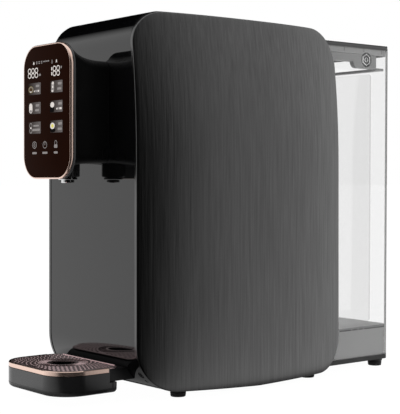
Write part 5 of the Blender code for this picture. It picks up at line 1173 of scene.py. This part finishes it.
# Dark screens that only reflections see: azimuth, height, and the level at each angle from there
SIDE_SCREEN = (-30.0, -10.0, ((37.0, 0.0), (46.0, 0.06), (53.0, 0.24), (60.0, 0.38), (70.0, 0.51),
                              (86.0, 0.7), (104.0, 0.89)))
BACK_SCREEN = (150.0, 20.0, ((39.0, 0.0), (52.0, 1.0)))
FLOOR_CENTER = (0.06, -0.17, 0.0)
FLOOR_REACH = 30.0
FLOOR_DROP = 0.0002
STUDIO_FILL = 0.62
# Half widths of the painted shadow that the floor has under the object, and its level; only reflections see
# it
SHADOW_HALF_X = 0.12
SHADOW_HALF_Y = 0.24
SHADOW_LEVEL = 0.22


def studio_dark(tree, vector, screens):
    """Brightness of the white studio where dark screens stand in the given directions."""
    whole = None
    for azimuth, height, stops in screens:
        azimuth, height = radians(azimuth), radians(height)
        out = cos(height)
        middle = (out * cos(azimuth), out * sin(azimuth), sin(height))
        product = vector_step(tree, "DOT_PRODUCT", vector, middle, "Value")
        angle = arithmetic(tree, "DIVIDE", arithmetic(tree, "ARCCOSINE", product), pi)
        share = ramp(tree, angle, [(degrees / 180, grey(level)) for degrees, level in stops])
        whole = share if whole is None else arithmetic(tree, "MULTIPLY", whole, share)
    return whole


def ray_kinds(tree):
    """Whether a ray comes from the camera or through a clear wall, and whether it is a reflection."""
    path = added(tree, "LightPath").outputs
    seen = arithmetic(tree, "MAXIMUM", path["Is Camera Ray"], path["Is Transmission Ray"])
    return seen, path["Is Glossy Ray"]


def make_world():
    world = bpy.data.worlds.new("studio")
    bpy.context.scene.world = world
    world.use_nodes = True
    tree = world.node_tree
    seen, glossy = ray_kinds(tree)
    mirrored = studio_dark(tree, place_of(tree, "Generated"), (SIDE_SCREEN, BACK_SCREEN))
    level = blended(tree, seen, blended(tree, glossy, STUDIO_FILL, mirrored), 1.0)
    feed(tree.nodes["Background"].inputs, {"Color": (*grey(1.0), 1.0), "Strength": level})


def make_floor():
    mesh = bpy.data.meshes.new("floor")
    corners = [(x * FLOOR_REACH, y * FLOOR_REACH, 0) for x, y in ((-1, -1), (1, -1), (1, 1), (-1, 1))]
    mesh.from_pydata(corners, [], [(0, 1, 2, 3)])
    floor = linked("floor", mesh)
    floor.location.z = -FLOOR_DROP
    shade, tree, inputs = graph("floor_white")
    feed(inputs, {"Base Color": (0.88, 0.88, 0.88, 1.0), "Roughness": 0.9, "Specular IOR Level": 0.0})
    seen, glossy = ray_kinds(tree)
    place = place_of(tree)
    # Reflections see the floor's glow darkened towards the side screen's direction, as painted shade, and
    # dimmed under the object, as a painted shadow
    outward = vector_step(tree, "NORMALIZE", vector_step(tree, "SUBTRACT", place, FLOOR_CENTER))
    mirrored = studio_dark(tree, outward, (SIDE_SCREEN,))
    away = vector_step(tree, "MULTIPLY", place, (1 / SHADOW_HALF_X, 1 / SHADOW_HALF_Y, 0.0))
    away = vector_step(tree, "LENGTH", away, result="Value")
    mirrored = arithmetic(tree, "MULTIPLY", mirrored, spread_range(tree, away, SHADOW_LEVEL, 1.0, 1.0, 1.35))
    glow = added(tree, "Emission", {"Strength": blended(tree, seen, mirrored, 1.04)})
    share = arithmetic(tree, "MAXIMUM", arithmetic(tree, "MULTIPLY", seen, 0.95), glossy)
    mix = added(tree, "MixShader", {"Fac": share, 1: tree.nodes["Principled BSDF"].outputs["BSDF"],
                                    2: glow.outputs["Emission"]})
    feed(tree.nodes["Material Output"].inputs, {"Surface": mix.outputs["Shader"]})
    mesh.materials.append(shade)


def make_lamp():
    key = bpy.data.lights.new("key", "AREA")
    key.shape = "RECTANGLE"
    key.size = 1.6
    key.size_y = 1.2
    key.energy = 22.0
    lamp = linked("key", key)
    lamp.location = (-0.9, -1.1, 2.0)
    reach = Vector((0.0, 0.0, 0.15)) - lamp.location
    lamp.rotation_euler = reach.to_track_quat("-Z", "Y").to_euler()
    lamp.visible_glossy = False


def make_camera():
    data = bpy.data.cameras.new("camera")
    data.lens = CAMERA_LENS
    data.shift_y = CAMERA_SHIFT
    data.clip_end = 100.0
    item = linked("camera", data)
    item.location = CAMERA_PLACE
    item.rotation_euler = (pi / 2, 0.0, CAMERA_TURN)
    bpy.context.scene.camera = item


bpy.context.scene.view_settings.view_transform = "Standard"
make_casing()
make_head()
make_tap()
make_readouts()
make_tiles()
make_tray()
make_tank()
make_lid()
make_fitting()
dress_kept_nodes()
make_world()
make_floor()
make_lamp()
make_camera()
